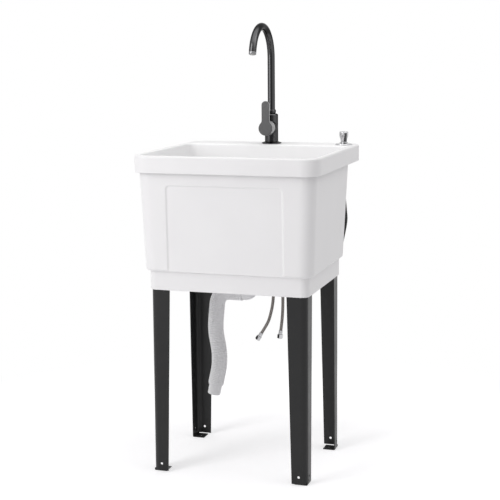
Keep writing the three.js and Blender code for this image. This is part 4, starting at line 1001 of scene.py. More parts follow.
def lever_outline():
    """The lever's face: a round hub that runs up into a straight, round-ended lever."""
    half, fillet, hub, tip = 11.3, 14.0, 20.6, 77.5
    out = half + fillet
    up = math.sqrt((hub + fillet) ** 2 - out**2)
    meet = math.atan2(up, out)

    def arc(cx, cy, radius, start, end, steps):
        turns = np.linspace(start, end, steps + 1)
        return [(cx + radius * math.cos(a), cy + radius * math.sin(a)) for a in turns]

    line = arc(0, tip - half, half, math.pi, 0, 28)
    line += arc(out, up, fillet, math.pi, math.pi + meet, 10)
    line += arc(0, 0, hub, meet, -math.pi - meet, 60)[1:-1]
    line += arc(-out, up, fillet, -meet, 0, 10)
    return line


PIVOT = 33  # where the stem's pin crosses the hub's axis
CUP = 17.2


def make_handle():
    """The lever with its cup over the cartridge, its stem and its screw."""
    plate = prism(lever_outline(), 54, 61, 1.0, 5)
    cup = [(0, PIVOT + CUP, 0)]
    for angle in np.linspace(0.12, 1, 9) * math.pi / 2:
        cup.append((CUP * math.sin(angle), PIVOT + CUP * math.cos(angle), 0))
    cup += [(CUP, 28.0, 0), (20.5, 28.0, 0), (20.5, 54.6), (0, 54.6)]
    slope = Matrix.Translation((0, 0, 33.2)) @ Matrix.Rotation(-math.atan(0.176), 4, "X")
    rear = moved(bar(-30, 30, -30, 30, -20, 0, 0.01), slope)
    cup = mesh_object("handle cup", turned(cup, 0.4, 96))
    cup = shell_of(cut_by(cup, rear, hole(2.1, 0, -20.6, 51.5, "Y", 6)))
    handle = mesh_object("handle_piece", moved(joined(plate, cup), AT_HUB))
    fitted(smoothed(handle, 30), "lever", "handle_black")
    dressed("lever_stem", "lever", "brass", bar(-3.5, 3.5, -3.5, 3.5, 28, 57, 0.4), AT_HUB)
    places = Matrix.Rotation(-QUARTER, 4, "X"), Matrix.Translation((0, 0, 52)), AT_HUB
    screw = rod(1.8, -19.6, -3.8, 0.3, 32)
    dressed("handle_set_screw", "lever", "stainless", screw, *places)


def make_cartridge():
    """The cartridge, the domed nut that holds it, and the turret with its pin."""
    body = [(0, 11.2), (17.2, 11.2), (17.2, 25), (8.8, 25), (8.8, 13.2), (0, 13.2)]
    dressed("cartridge_body", "sink", "acetal", turned(body), AT_HUB)
    dome = [(13.4, 25.3), (17.2, 25.3), (17.2, 28.9)]
    for radius, start, end in ((16.5, -4, 12.73), (14, 9.25, -4)):
        for out in np.linspace(start, end, 12):
            dome.append((math.sqrt(radius**2 - out**2), PIVOT + out, 0))
    dressed("cartridge_dome_nut", "sink", "chrome", turned(dome, 0.2, 80, True), AT_HUB)
    turret = mesh_object("cartridge_turret_piece", rod(8.5, 13.5, 38, 0.4))
    slot = bar(-3.8, 3.8, -20, 20, 26.5, 43, 0.1)
    cut_by(turret, slot, hole(1.8, 0, 0, PIVOT, "X", 20))
    fitted(smoothed(relocated(turret, AT_HUB)), "turret", "acetal")
    across = Matrix.Translation((0, 0, PIVOT)) @ Matrix.Rotation(QUARTER, 4, "Y")
    dressed("stem_pin", "turret", "stainless", rod(1.5, -8.1, 8.1, 0.3, 32), across, AT_HUB)


# ---------------------------------------------------------------- the side sprayer

FACE_TOP = 36.8
TRIGGER_PIVOT = (0, -10.2, 30)


def make_sprayer():
    """The sprayer, its trigger and its coupling, and the holder that it rests in."""
    holder = [(10.3, -34), (13.5, -34), (13.5, 0.3), (24.5, 0.3), (24.5, 1.7, 0.5)]
    holder = turned(holder + [(22, 3.4, 3), (15, 4.8, 2), (10.3, 4.8, 0.8)], 0.3, 80, True)
    for name, finish, shell in (
        ("sprayer_holder", "chrome", holder),
        ("sprayer_holder_washer", "rubber", tube_ring(13.8, 20, -7.3, -5.3)),
        ("sprayer_holder_nut", "acetal", nut_shell(13.8, 19.5, -16.6, -7.6)),
    ):
        dressed(name, "sink", finish, shell, AT_SPRAYER)
    body = [(0, -48), (8, -48), (9.2, -30, 6), (9.2, 5.1, 0), (12, 5.1, 0.4), (12, 6.5, 0.5)]
    body += [(8.9, 7.3, 0.8), (8.9, 12, 6), (10, 17, 8), (12.3, 23, 8), (12.8, 27, 6)]
    body += [(12.8, 36, 1.2), (11.5, 37.3, 0.8), (9.5, 37.3, 0.3), (9.5, 34.5, 0), (0, 34.5)]
    body = mesh_object("sprayer_body_piece", turned(body, 0.3, 80, steps=6))
    cut_by(body, bar(-3.8, 3.8, -17, -6, 7.6, 33.6, 0.3), rod(4, -49, 31.3, 0, 40))
    fitted(smoothed(relocated(body, AT_SPRAYER)), "sprayer", "chrome")
    base = mesh_object("face disc", rod(9.2, 34.8, FACE_TOP, 0.3, 72))
    sizes = {"Pitch": 1.9 * MM, "Hole": 0.5 * MM, "Top": FACE_TOP * MM}
    face = grown("sprayer_face", base, nozzles, "handle_black", **sizes)
    fitted(smoothed(relocated(face, AT_SPRAYER), flats=False), "sprayer", "handle_black")
    valve = rod(3.2, -30, 30.3, 0.3, 32)
    dressed("sprayer_valve", "sprayer", "acetal", valve, AT_SPRAYER)
    make_trigger()
    coupling = [(2.5, -62.3), (8.5, -62.3), (8.5, -58, 0.2), (8.1, -57.5, 0.2), (8.5, -57, 0.2)]
    coupling += [(8.5, -53, 0.2), (8.1, -52.5, 0.2), (8.5, -52, 0.2), (8.5, -48.3), (2.5, -48.3)]
    coupling = turned(coupling, 0.4, 48, True)
    dressed("sprayer_coupling", "sprayer", "handle_black", coupling, AT_SPRAYER)


def nozzles(tree, sockets):
    """Rings of small raised nozzles on the start piece."""
    hole_radius = sockets["Hole"]
    inputs = {"Vertices": 12, "Radius Top": hole_radius * 0.7, "Radius Bottom": hole_radius}
    nozzle = tree.node("GeometryNodeMeshCone", {**inputs, "Depth": 0.45 * MM})
    points = six_more(tree, sockets["Pitch"])
    return tree.joined(
        sockets["Geometry"], tree.repeated(points, nozzle, lift=sockets["Top"] - 0.02 * MM)
    )


def make_trigger():
    """The lever on the sprayer's side, and the pin that it turns on."""
    side = [(-13.2, 32, 1.0), (-12.2, 33, 0.8), (-8.2, 33, 0.3), (-8.2, 26, 0.5), (-9.9, 23, 2)]
    side += [(-9.9, 9, 0.3), (-12.1, 9, 0.8), (-12.1, 22, 4), (-13.2, 26, 4)]
    flat = prism(eased(side, 0.4, True, 5), -3.5, 3.5, 0.25)
    upright = Matrix(((0, 0, 1, 0), (1, 0, 0, 0), (0, 1, 0, 0), (0, 0, 0, 1)))
    trigger = mesh_object("sprayer_trigger_piece", moved(flat, upright))
    cut_by(trigger, hole(1.5, *TRIGGER_PIVOT, "X", 20))
    fitted(smoothed(relocated(trigger, AT_SPRAYER)), "trigger", "faucet_black")
    across = Matrix.Translation(TRIGGER_PIVOT) @ Matrix.Rotation(QUARTER, 4, "Y")
    pin = rod(1.2, -7.1, 7.1, 0.25, 28)
    dressed("trigger_pin", "sprayer", "stainless", pin, across, AT_SPRAYER)


# ---------------------------------------------------------------- the strainer and drain

FLANGE_THROAT = 30
BASKET_LIP = 34
BASKET_SEAT = 0.6 + (BASKET_LIP - FLANGE_THROAT) / 6 * 2.0  # the throat rises 2 in 6
BASKET_FOOT = BASKET_SEAT - 24
BASKET_STEEL = 1.5
KNOB_FOOT = -20.1
KNOB_TOP = 14.3


def make_strainer():
    """The strainer in the tub's floor, with its washer and its nut."""
    body = [(29, -32, 1.5), (18, -32, 1.0), (18, -64), (20, -64), (20, -34, 1.0)]
    body += [(31, -32.5, 1.5), (31, 0.3, 0), (43, 0.3, 0.2), (42.2, 2.3, 0.9), (36, 2.3, 1.5)]
    body = turned(body + [(FLANGE_THROAT, 0.3, 1.5), (29, -1.2, 1.0)], 0.3, 96, True)
    dressed("strainer_body", "sink", "stainless", body, AT_SEAT)
    dressed("strainer_washer", "sink", "rubber", tube_ring(31.3, 46, -12.3, -9.3), AT_SEAT)
    ring = tube_ring(31.3, 42.2, -23.6, -12.6, 0.6, 80)
    lug_sizes = dict(Reach=42.2, Width=9.0, Depth=5.4, Height=9.0, Level=SEAT_Z - 18.1)
    make_lugged_nut("strainer_lock_nut", ring, 0.5, 8, lug_sizes)


def make_lugged_nut(name, ring, edge, count, lug_sizes):
    """A plastic nut with lugs round it."""
    base = mesh_object("nut ring", moved(ring, AT_SEAT))
    sizes = {label: size * MM for label, size in lug_sizes.items()}
    nut = grown(name, base, lugs, "drain_plastic", Count=count, **sizes)
    fitted(smoothed(edges_eased(nut, edge, 45)), "sink", "drain_plastic")


def lugs(tree, sockets):
    """Blocks set round the start piece, each facing out."""
    size = tree.vector(sockets["Depth"], sockets["Width"], sockets["Height"])
    block = tree.node("GeometryNodeMeshCube", {"Size": size})
    x, y, _ = tree.apart(tree.node("GeometryNodeInputPosition"))
    turn = tree.vector(z=y.math("ARCTAN2", x))
    circle = tree.circle(sockets["Count"], sockets["Reach"])
    return tree.joined(
        sockets["Geometry"], tree.repeated(circle, block, turn, lift=sockets["Level"])
    )


def make_basket():
    """The basket, drilled in rows round its wall and rings through its floor, and its knob."""
    foot = BASKET_FOOT
    wall = [(0, foot), (20, foot, 4), (26, foot + 5, 3), (26, -0.7, 1)]
    wall += [(BASKET_LIP, BASKET_SEAT, 0.3), (BASKET_LIP, BASKET_SEAT + BASKET_STEEL, 0.6)]
    wall += [(24.5, 0.3, 1), (24.5, foot + 5.5, 3)]
    wall += [(19, foot + BASKET_STEEL, 3), (0, foot + BASKET_STEEL)]
    base = mesh_object("basket wall", turned(wall, 0.3, 96))
    sizes = {"Hole": 1.3 * MM, "Low": (foot + 7) * MM, "Step": 3.6 * MM}
    holes = grown(
        "strainer_basket", base, basket_holes, "stainless", Rows=4, Around=26, **sizes
    )
    fitted(smoothed(relocated(holes, AT_SEAT), flats=False), "basket", "stainless")
    foot, top = KNOB_FOOT, KNOB_TOP
    knob = [(0, foot - 0.05), (6, foot - 0.05), (6, foot + 2, 0.5), (3, foot + 4, 1.5)]
    knob += [(3, top - 6, 1.5), (9, top - 4, 0.8), (9, top - 1.5, 0.8), (7, top, 1.2), (0, top)]
    dressed("basket_knob", "basket", "stainless", turned(knob, 0.4, 56), AT_SEAT)


def basket_holes(tree, sockets):
    """Rows of round holes through the start piece's wall, and two rings through its floor."""
    start = tree.vector(x=25.5 * MM, z=sockets["Low"])
    step = tree.vector(z=sockets["Step"])
    inputs = {"Count": sockets["Rows"], "Start Location": start, "Offset": step}
    column = tree.node("GeometryNodeMeshLine", inputs, mode="OFFSET")
    drill = tree.drill(12, sockets["Hole"], 7 * MM)
    drills = tree.repeated(column, drill, (0.0, QUARTER, 0.0))
    inputs = {"Count": sockets["Around"], "Offset": (0.0, 0.0, 0.0)}
    centre = tree.node("GeometryNodeMeshLine", inputs, mode="OFFSET")
    turn = tree.node("GeometryNodeInputIndex") * (2 * math.pi) / sockets["Around"]
    shapes = [tree.repeated(centre, drills, tree.vector(z=turn))]
    for count, radius in ((18, 15.5), (12, 10.5)):
        circle = tree.circle(count, radius * MM)
        shapes.append(tree.repeated(circle, drill, lift=sockets["Low"] - 6.3 * MM))
    return tree.drilled(sockets["Geometry"], tree.joined(*shapes))


ELBOW_LEVEL = -84.0
ELBOW_RADIUS = 20.0
ELBOW_BEND = 20.0
ELBOW_BORE = 14


def make_drain_fittings():
    """The elbow under the strainer, with the slip nut and washer that seal it."""
    turn = np.arange(64) * 2 * math.pi / 64

    def level_ring(x, z, angle, size):
        """A ring square to a line that turns from down to -X by angle."""
        out = size * np.cos(turn)
        return np.c_[x + out * math.cos(angle), size * np.sin(turn), z - out * math.sin(angle)]

    inlet = [(-66.5, ELBOW_RADIUS - 0.4), (-66, ELBOW_RADIUS), (-64, ELBOW_RADIUS)]
    sweep = [level_ring(0, z, 0, size) for z, size in inlet]
    for angle in np.linspace(0, QUARTER, 15):
        x = -ELBOW_BEND * (1 - math.cos(angle))
        z = ELBOW_LEVEL + ELBOW_BEND - ELBOW_BEND * math.sin(angle)
        sweep.append(level_ring(x, z, angle, ELBOW_RADIUS))
    spigot = [(-24, ELBOW_RADIUS), (-25.6, ELBOW_RADIUS), (-26, ELBOW_RADIUS - 0.4), (-26, 16.9)]
    spigot += [(-26.4, 16.5), (-45, 16.5), (-46, 15.8), (-46, ELBOW_BORE), (-20, ELBOW_BORE)]
    sweep += [level_ring(x, ELBOW_LEVEL, QUARTER, size) for x, size in spigot]
    socket = [(0, -66), (20.3, -66), (20.3, -41), (25, -41), (25, -68.5, 2), (20, -69), (0, -69)]
    elbow = joined(grid_shell(sweep, ends=POLES), turned(socket, 0.3, 80))
    dressed("drain_elbow", "sink", "drain_plastic", elbow, AT_SEAT)
    nut = [(25.3, -57), (28.6, -57), (28.6, -35.4, 1.5), (20.3, -35), (20.3, -38), (25.3, -38)]
    nut = turned(nut, 0.4, 96, True)
    lug_sizes = dict(Reach=28.6, Width=3.0, Depth=3.6, Height=19.0, Level=SEAT_Z - 47.2)
    make_lugged_nut("drain_slip_nut", nut, 0.4, 24, lug_sizes)
    dressed("slip_washer", "sink", "rubber", tube_ring(20.3, 25, -40.7, -38.5), AT_SEAT)


# ---------------------------------------------------------------- hoses

# The hoses' routes, in metres.
DRAIN_ROUTE = [
    (-0.0263, 0, 0.461), (-0.037, 0, 0.461), (-0.048, 0, 0.461), (-0.059, 0, 0.461),
    (-0.0705, 0, 0.461), (-0.083, 0, 0.4582), (-0.094, 0, 0.4495), (-0.1006, 0, 0.437),
    (-0.1034, 0, 0.421), (-0.1052, 0, 0.402), (-0.1072, 0, 0.382), (-0.1081, 0, 0.362),
    (-0.1072, 0, 0.342), (-0.1042, 0, 0.323), (-0.1008, 0, 0.304), (-0.0986, 0, 0.286),
    (-0.098, 0, 0.268), (-0.0988, 0, 0.252), (-0.1006, 0, 0.2381), (-0.1036, 0, 0.2237),
    (-0.1066, 0, 0.2094), (-0.1096, 0, 0.195),
]
SUPPLY_LEFT_ROUTE = [
    (-0.006495, 0.19225, 0.8797), (-0.006495, 0.19225, 0.79), (-0.007, 0.19, 0.735),
    (-0.0052, 0.1882, 0.692), (-0.003, 0.186, 0.65), (0.0004, 0.1836, 0.606),
    (0.004, 0.181, 0.562), (0.007, 0.1784, 0.522), (0.009, 0.176, 0.483),
    (0.01, 0.1743, 0.45), (0.0098, 0.173, 0.419), (0.0077, 0.1723, 0.396),
    (0.004, 0.172, 0.376), (-0.005, 0.172, 0.345), (-0.016, 0.172, 0.324),
    (-0.026, 0.172, 0.308),
]
SUPPLY_RIGHT_ROUTE = [
    (0.006495, 0.19225, 0.8797), (0.006495, 0.19225, 0.79), (0.008, 0.19, 0.735),
    (0.0113, 0.1882, 0.692), (0.015, 0.186, 0.65), (0.0199, 0.1836, 0.606),
    (0.025, 0.181, 0.562), (0.03, 0.1784, 0.522), (0.034, 0.176, 0.483),
    (0.0371, 0.1743, 0.45), (0.0385, 0.173, 0.421), (0.0388, 0.1724, 0.402),
    (0.0385, 0.172, 0.384), (0.0375, 0.172, 0.366), (0.036, 0.172, 0.348),
    (0.0325, 0.172, 0.32),
]
SPRAYER_ROUTE = [
    (0.214, 0.196, 0.8014), (0.214, 0.196, 0.78), (0.2148, 0.197, 0.732),
    (0.2186, 0.199, 0.68), (0.2204, 0.2, 0.65), (0.2132, 0.201, 0.606),
    (0.2005, 0.203, 0.556), (0.1815, 0.206, 0.511), (0.15, 0.208, 0.484),
    (0.105, 0.208, 0.486), (0.062, 0.207, 0.522), (0.03, 0.205, 0.58),
    (0.012, 0.204, 0.65), (0.003, 0.2035, 0.72), (0.0, 0.2035, 0.79),
    (0.0, 0.2035, 0.8797),
]


def route_line(route, steps=8):
    """A smooth line through a route's points, in metres."""
    points = np.array(route, float)
    points = np.vstack([2 * points[0] - points[1], points, 2 * points[-1] - points[-2]])
    line = []
    for i in range(1, len(points) - 2):
        p0, p1, p2, p3 = points[i - 1 : i + 3]
        a, b, c = (math.sqrt(np.linalg.norm(q - p)) for p, q in ((p0, p1), (p1, p2), (p2, p3)))
        start = ((p1 - p0) / a - (p2 - p0) / (a + b) + (p2 - p1) / b) * b
        end = ((p2 - p1) / b - (p3 - p1) / (b + c) + (p3 - p2) / c) * b
        square = -3 * p1 + 3 * p2 - 2 * start - end
        cube = 2 * p1 - 2 * p2 + start + end
        line += [p1 + start * t + square * t**2 + cube * t**3 for t in np.arange(steps) / steps]
    return np.array([*line, points[-2]])


def lengths_along(line):
    return np.r_[0, np.cumsum(np.linalg.norm(np.diff(line, axis=0), axis=1))]


def evenly(line, step):
    """The line again, with its points about this far apart."""
    gone = lengths_along(line)
    places = np.linspace(0, gone[-1], int(round(gone[-1] / step)) + 1)
    return np.c_[tuple(np.interp(places, gone, line[:, axis]) for axis in range(3))]


def hose_mesh(name, line, radius):
    """A closed tube along a line, whose UV map holds metres along it and turns round it."""
    sides = 28
    ahead = np.gradient(line, axis=0)
    ahead /= np.linalg.norm(ahead, axis=1)[:, None]
    across = np.cross(ahead[0], (0.0, 1.0, 0.0))
    across /= np.linalg.norm(across)
    rings = []
    turns = np.arange(sides) * 2 * math.pi / sides
    for point, heading in zip(line, ahead):
        across = across - heading * np.dot(across, heading)
        across /= np.linalg.norm(across)
        over = np.cross(heading, across)
        round_it = np.outer(np.cos(turns), across) + np.outer(np.sin(turns), over)
        rings.append((point + round_it * radius) / MM)
    shell = grid_shell(rings, ends=POLES)
    gone = lengths_along(line)
    poles = {len(line) * sides: 0.0, len(line) * sides + 1: float(gone[-1])}
    uv = []
    for face in shell[1]:
        columns = [index % sides for index in face if index not in poles]
        wraps = 0 in columns and sides - 1 in columns
        for index in face:
            if index in poles:
                uv.append((poles[index], 0.5))
            else:
                column = index % sides or (sides if wraps else 0)
                uv.append((gone[index // sides], column / sides))
    return smoothed(mesh_object(name + "_piece", shell, uv), 50, flats=False)


def end_place(line):
    """The place of a fitting on a hose's far end: +Z runs on along the hose."""
    heading = Vector(line[-1] - line[-2]).normalized().to_track_quat("Z", "Y")
    return Matrix.Translation(Vector(line[-1]) / MM) @ heading.to_matrix().to_4x4()


def make_supply_hoses():
    make_supply_hose("left", SUPPLY_LEFT_ROUTE)
    make_supply_hose("right", SUPPLY_RIGHT_ROUTE)


def make_supply_hose(side, route):
    """A braided hose with its crimped ferrule and its union nut."""
    diameter = bpy.context.scene.sink_sizes.supply_diameter
    line = route_line(route)
    hose = fitted(hose_mesh("supply_hose_" + side, line, diameter / 2), "sink", "braid")
    ferrule = [(3, 0.3), (5.2, 0.3, 0.6), (6, 1.6, 0.5), (6, 4, 0.4), (5.5, 4.6, 0.4)]
    ferrule += [(6, 5.2, 0.4), (6, 7.4, 0.4), (5.5, 8, 0.4), (6, 8.6, 0.4), (6, 12), (3, 12)]
    shapes = {"ferrule": turned(ferrule, 0.2, 40, True), "nut": nut_shell(5, 8.5, 12.3, 25.3, 0.0)}
    ends = [
        dressed(f"supply_{kind}_{side}", "sink", "chrome", shell, end_place(line))
        for kind, shell in shapes.items()
    ]


def make_sprayer_hose():
    """The sprayer's black hose, looping down from the sprayer and up to the faucet."""
    diameter = bpy.context.scene.sink_sizes.sprayer_hose_diameter
    line = route_line(SPRAYER_ROUTE)
    hose = fitted(hose_mesh("sprayer_hose", line, diameter / 2), None, "hose_rubber")
    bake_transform(hose)


def ribs(tree, sockets):
    """A tube along the start curve that swells at each rib."""
    along = tree.node("GeometryNodeSplineParameter", output="Length")
    wave = (along / sockets["Pitch"] * math.pi).math("COSINE")
    size = sockets["Crest"] - wave.math("POWER", 4.0) * (sockets["Crest"] - sockets["Root"])
    circle = tree.node("GeometryNodeCurvePrimitiveCircle", {"Resolution": 40, "Radius": 1.0})
    inputs = {"Curve": sockets["Geometry"], "Profile Curve": circle, "Scale": size}
    return tree.node("GeometryNodeCurveToMesh", inputs)


def make_drain_hose():
    """The ribbed hose from the elbow, and the plain cuff on its end."""
    sizes = bpy.context.scene.sink_sizes
    line = evenly(route_line(DRAIN_ROUTE, 24), sizes.rib_pitch / 8)
    curve = bpy.data.curves.new("drain line", "CURVE")
    curve.dimensions = "3D"
    spline = curve.splines.new("POLY")
    spline.points.add(len(line) - 1)
    spline.points.foreach_set("co", np.c_[line, np.ones(len(line))].ravel())
    radii = {"Crest": sizes.rib_crest / 2, "Root": sizes.rib_root / 2}
    start = linked("drain line", curve)
    hose = grown("drain_hose", start, ribs, "drain_plastic", Pitch=sizes.rib_pitch, **radii)
    settled(modified(hose, "SOLIDIFY", thickness=1.4 * MM, offset=-1))
    fitted(smoothed(hose, 60, flats=False), "sink", "drain_plastic")
    cuff = [(15.5, -8), (17, -8), (17, 0.3), (20.3, 0.3), (20.3, 3, 0.8), (18, 4.5, 0.8)]
    cuff += [(18, 15.2, 0.2), (18.3, 15.7, 0.3), (18.3, 17.3, 0.3), (18, 17.8, 0.2)]
    cuff = turned(cuff + [(18, 30), (15.5, 30)], 0.5, 72, True)
    end = dressed("drain_cuff", "sink", "drain_plastic", cuff, end_place(line))


# ---------------------------------------------------------------- the stage

WHITE = (1, 1, 1, 1)


def make_stage():
    """The camera, the white room, the lamps and the floor."""
    stage = bpy.context.scene.sink_stage
    bpy.context.scene.view_settings.view_transform = "Standard"
    make_camera(stage.lens)
    make_world(stage.fill)
    for name, place, height, width, tall, power in (
        ("key lamp", (-1.7, -2.3, 3.0), 0.8, 1.4, 1.4, stage.key),
        ("strip lamp", (-1.75, -2.65, 1.4), 1.1, 1.1, 2.0, stage.strip),
        ("side lamp", (2.3, -0.1, 3.1), 0.8, 1.6, 1.6, stage.side),
        ("top lamp", (0.2, 0.0, 2.9), 0.8, 2.4, 2.4, stage.top),
    ):
        area_lamp(name, place, height, width, tall, power)
    make_floor(stage.floor)


def make_camera(lens_length):
    yaw, pitch, roll = 0.3131, 0.1314, -0.0081
    right = Vector((math.cos(yaw), math.sin(yaw), 0))
    flat = math.cos(pitch)
    ahead = Vector((-math.sin(yaw) * flat, math.cos(yaw) * flat, -math.sin(pitch)))
    up = right.cross(ahead)
    level = right * math.cos(roll) + up * math.sin(roll)
    upright = up * math.cos(roll) - right * math.sin(roll)
    lens = bpy.data.cameras.new("camera")
    lens.sensor_width = 36
    lens.lens = lens_length
    lens.shift_x = 0.0053
    lens.shift_y = -0.09
    camera = linked("camera", lens)
    turn = Matrix((level, upright, -ahead)).transposed()
    camera.matrix_world = Matrix.Translation((1.03446, -3.23169, 1.15765)) @ turn.to_4x4()
    bpy.context.scene.camera = camera


def area_lamp(name, place, height, width, tall, power):
    """A soft lamp at a place, turned to the middle of the sink at this height."""
    light = bpy.data.lights.new(name, "AREA")
    light.shape = "RECTANGLE"
    light.size = width
    light.size_y = tall
    light.energy = power
    lamp = linked(name, light)
    lamp.location = place
    heading = Vector((0, 0, height)) - Vector(place)
    lamp.rotation_euler = heading.to_track_quat("-Z", "Y").to_euler()


def seen_directly(tree):
    """1 for the camera's rays, and for what metal and glass show."""
    rays = tree.node("ShaderNodeLightPath").socket.node
    kinds = ["Is Camera Ray", "Is Glossy Ray", "Is Transmission Ray"]
    camera, glossy, through = (Socket(tree, rays.outputs[kind]) for kind in kinds)
    return (camera + glossy + through).math("MAXIMUM", 0.0).math("MINIMUM", 1.0)


def mixed(tree, factor, first, second):
    return tree.node("ShaderNodeMixShader", {0: factor, 1: first, 2: second})


def glowing(tree, kind, strength):
    return tree.node("ShaderNode" + kind, {"Color": WHITE, "Strength": strength})


def make_world(fill):
    world = bpy.data.worlds.new("white room")
    world.use_nodes = True
    bpy.context.scene.world = world
    tree = Tree(world.node_tree)
    lit, white = (glowing(tree, "Background", strength) for strength in (fill, 1.0))
    room = mixed(tree, seen_directly(tree), lit, white)
    tree.node("ShaderNodeOutputWorld", {"Surface": room})


def make_floor(colour):
    """A floor that keeps the sink's shadow and is white beyond it."""
    corners = ((-1, -1), (1, -1), (1, 1), (-1, 1))
    points = np.array([(x * 30.0, y * 30.0, 0) for x, y in corners]) / MM
    floor = mesh_object("floor", (points - (0, 0, 0.4), [(0, 1, 2, 3)]))
    made = bpy.data.materials.new("white floor")
    made.use_nodes = True
    tree = Tree(made.node_tree)
    x, y, _ = tree.apart(tree.place())
    away = (x * x + (y + 0.05) * (y + 0.05)).math("SQRT")
    faded = away.between(0.3, 1.2)
    lit = tree.node("ShaderNodeBsdfDiffuse", {"Color": colour})
    near, far = (glowing(tree, "Emission", strength) for strength in (1.7, 1.0))
    factor = seen_directly(tree) * (0.3 + faded * 0.7)
    shader = mixed(tree, factor, lit, mixed(tree, faded, near, far))
    tree.node("ShaderNodeOutputMaterial", {"Surface": shader})
    floor.data.materials.append(made)
    return floor


# ---------------------------------------------------------------- settings


def length_of(name, description, default):
    return bpy.props.FloatProperty(
        name=name,
        description=description,
        default=default,
        min=0.0005,
        unit="LENGTH",
        subtype="DISTANCE",
        precision=4,
    )


def colour_of(name, description, *default):
    return bpy.props.FloatVectorProperty(
        name=name,
        description="Colour of " + description,
        default=(*default, 1),
        size=4,
        min=0.0,
        max=1.0,
        subtype="COLOR",
    )


def power_of(name, description, default):
    return bpy.props.FloatProperty(
        name=name, description="Power of " + description, default=default, min=0, unit="POWER"
    )


class SinkSizes(bpy.types.PropertyGroup):
    """Sizes of the hoses."""

    supply_diameter: length_of("Supply hose", "Outer diameter of the braided hoses", 0.009)
    sprayer_hose_diameter: length_of("Sprayer hose", "Outer diameter of that hose", 0.008)
    rib_pitch: length_of("Rib pitch", "From one rib of the drain hose to the next", 0.005)
    rib_crest: length_of("Rib crest", "Diameter of the drain hose over its ribs", 0.044)
    rib_root: length_of("Rib root", "Diameter of the drain hose between its ribs", 0.042)


class SinkFinishes(bpy.types.PropertyGroup):
    """Colours of the finishes."""

    tub: colour_of("Tub", "the tub's plastic", 0.845, 0.837, 0.843)
    # Painted light: a paler copy of the tub's plastic, painted inside the basin to brighten it.
    basin: colour_of("Basin", "the tub's plastic inside the basin", 0.96, 0.956, 0.96)
    legs: colour_of("Legs", "the legs' powder paint", 0.013, 0.013, 0.0135)
    faucet: colour_of("Faucet", "the faucet's black plating", 0.024, 0.024, 0.025)
    # Painted sheen: the paler colour painted where the faucet's plating turns away.
    sheen: colour_of("Faucet sheen", "the plating where it turns away", 0.078, 0.078, 0.08)
    handle: colour_of("Handle", "the handle's satin black", 0.047, 0.047, 0.0485)
    # Painted sheen: the paler colour painted where the handle turns away.
    handle_sheen: colour_of("Handle sheen", "the handle where it turns away", 0.3, 0.3, 0.303)
    chrome: colour_of("Chrome", "the bright plating", 0.54, 0.54, 0.55)
    smoked: colour_of("Smoked chrome", "the ring on the outlet", 0.24, 0.24, 0.245)
    stainless: colour_of("Stainless", "the strainer's steel", 0.56, 0.56, 0.55)
    brass: colour_of("Brass", "the shank and its nut", 0.56, 0.4, 0.19)
    rubber: colour_of("Rubber", "the washers and the sprayer's hose", 0.012, 0.012, 0.013)
    drain: colour_of("Drain plastic", "the elbow and the drain hose", 0.86, 0.858, 0.868)
    acetal: colour_of("Acetal", "the cartridge's plastic", 0.68, 0.66, 0.62)
    braid: colour_of("Braid", "the braided wire", 0.36, 0.33, 0.31)
    # Painted shade: the dark painted into the braid's gaps and under its crossings.
    braid_gap: colour_of("Braid gaps", "the dark between the strands", 0.05, 0.045, 0.042)


class SinkStage(bpy.types.PropertyGroup):
    """Camera, lamps and floor."""

    lens: bpy.props.FloatProperty(
        name="Lens",
        description="Focal length in millimetres",
        default=89.32,
        min=1,
        subtype="DISTANCE_CAMERA",
    )
    fill: bpy.props.FloatProperty(
        name="Fill", description="Strength of the room's light", default=0.42, min=0
    )
    key: power_of("Key", "the main lamp", 27.5)
    strip: power_of("Strip", "the strip that streaks the spout", 27)
    side: power_of("Side", "the side lamp", 15)
    top: power_of("Top", "the lamp above", 20)
    floor: colour_of("Floor", "the floor near the sink", 0.95, 0.94, 0.96)


# ---------------------------------------------------------------- operators


class SinkOperator:
    """What the sink's operators share."""

    bl_options = {"REGISTER", "UNDO"}


class SINK_OT_stage(SinkOperator, bpy.types.Operator):
    """Set the camera, the lamps and the white floor"""

    bl_idname = "sink.stage"
    bl_label = "Stage"

    def execute(self, context):
        make_stage()
        return {"FINISHED"}


class SINK_OT_supply_hoses(SinkOperator, bpy.types.Operator):
    """Make the two braided supply hoses with their end fittings"""

    bl_idname = "sink.supply_hoses"
    bl_label = "Supply hoses"

    def execute(self, context):
        make_supply_hoses()
        return {"FINISHED"}


class SINK_OT_sprayer_hose(SinkOperator, bpy.types.Operator):
    """Make the sprayer's hose"""

    bl_idname = "sink.sprayer_hose"
    bl_label = "Sprayer hose"

    def execute(self, context):
        make_sprayer_hose()
        return {"FINISHED"}


class SINK_OT_drain_hose(SinkOperator, bpy.types.Operator):
    """Make the ribbed drain hose and its cuff"""

    bl_idname = "sink.drain_hose"
    bl_label = "Drain hose"

    def execute(self, context):
        make_drain_hose()
        return {"FINISHED"}


class SINK_OT_tub(SinkOperator, bpy.types.Operator):
    """Make the moulded tub"""

    bl_idname = "sink.tub"
    bl_label = "Tub"

    def execute(self, context):
        make_tub()
        return {"FINISHED"}


class SINK_OT_legs(SinkOperator, bpy.types.Operator):
    """Make the four bent steel legs"""

    bl_idname = "sink.legs"
    bl_label = "Legs"

    def execute(self, context):
        make_legs()
        return {"FINISHED"}


class SINK_OT_faucet(SinkOperator, bpy.types.Operator):
    """Make the faucet's body and what mounts it on the deck"""

    bl_idname = "sink.faucet"
    bl_label = "Faucet"

    def execute(self, context):
        make_faucet()
        return {"FINISHED"}


class SINK_OT_spout(SinkOperator, bpy.types.Operator):
    """Make the gooseneck spout with its collar, seals and aerator"""

    bl_idname = "sink.spout"
    bl_label = "Spout"

    def execute(self, context):
        make_spout()
        make_aerator()
        return {"FINISHED"}


class SINK_OT_handle(SinkOperator, bpy.types.Operator):
    """Make the handle and the cartridge that it turns"""

    bl_idname = "sink.handle"
    bl_label = "Handle"

    def execute(self, context):
        make_handle()
        make_cartridge()
        return {"FINISHED"}


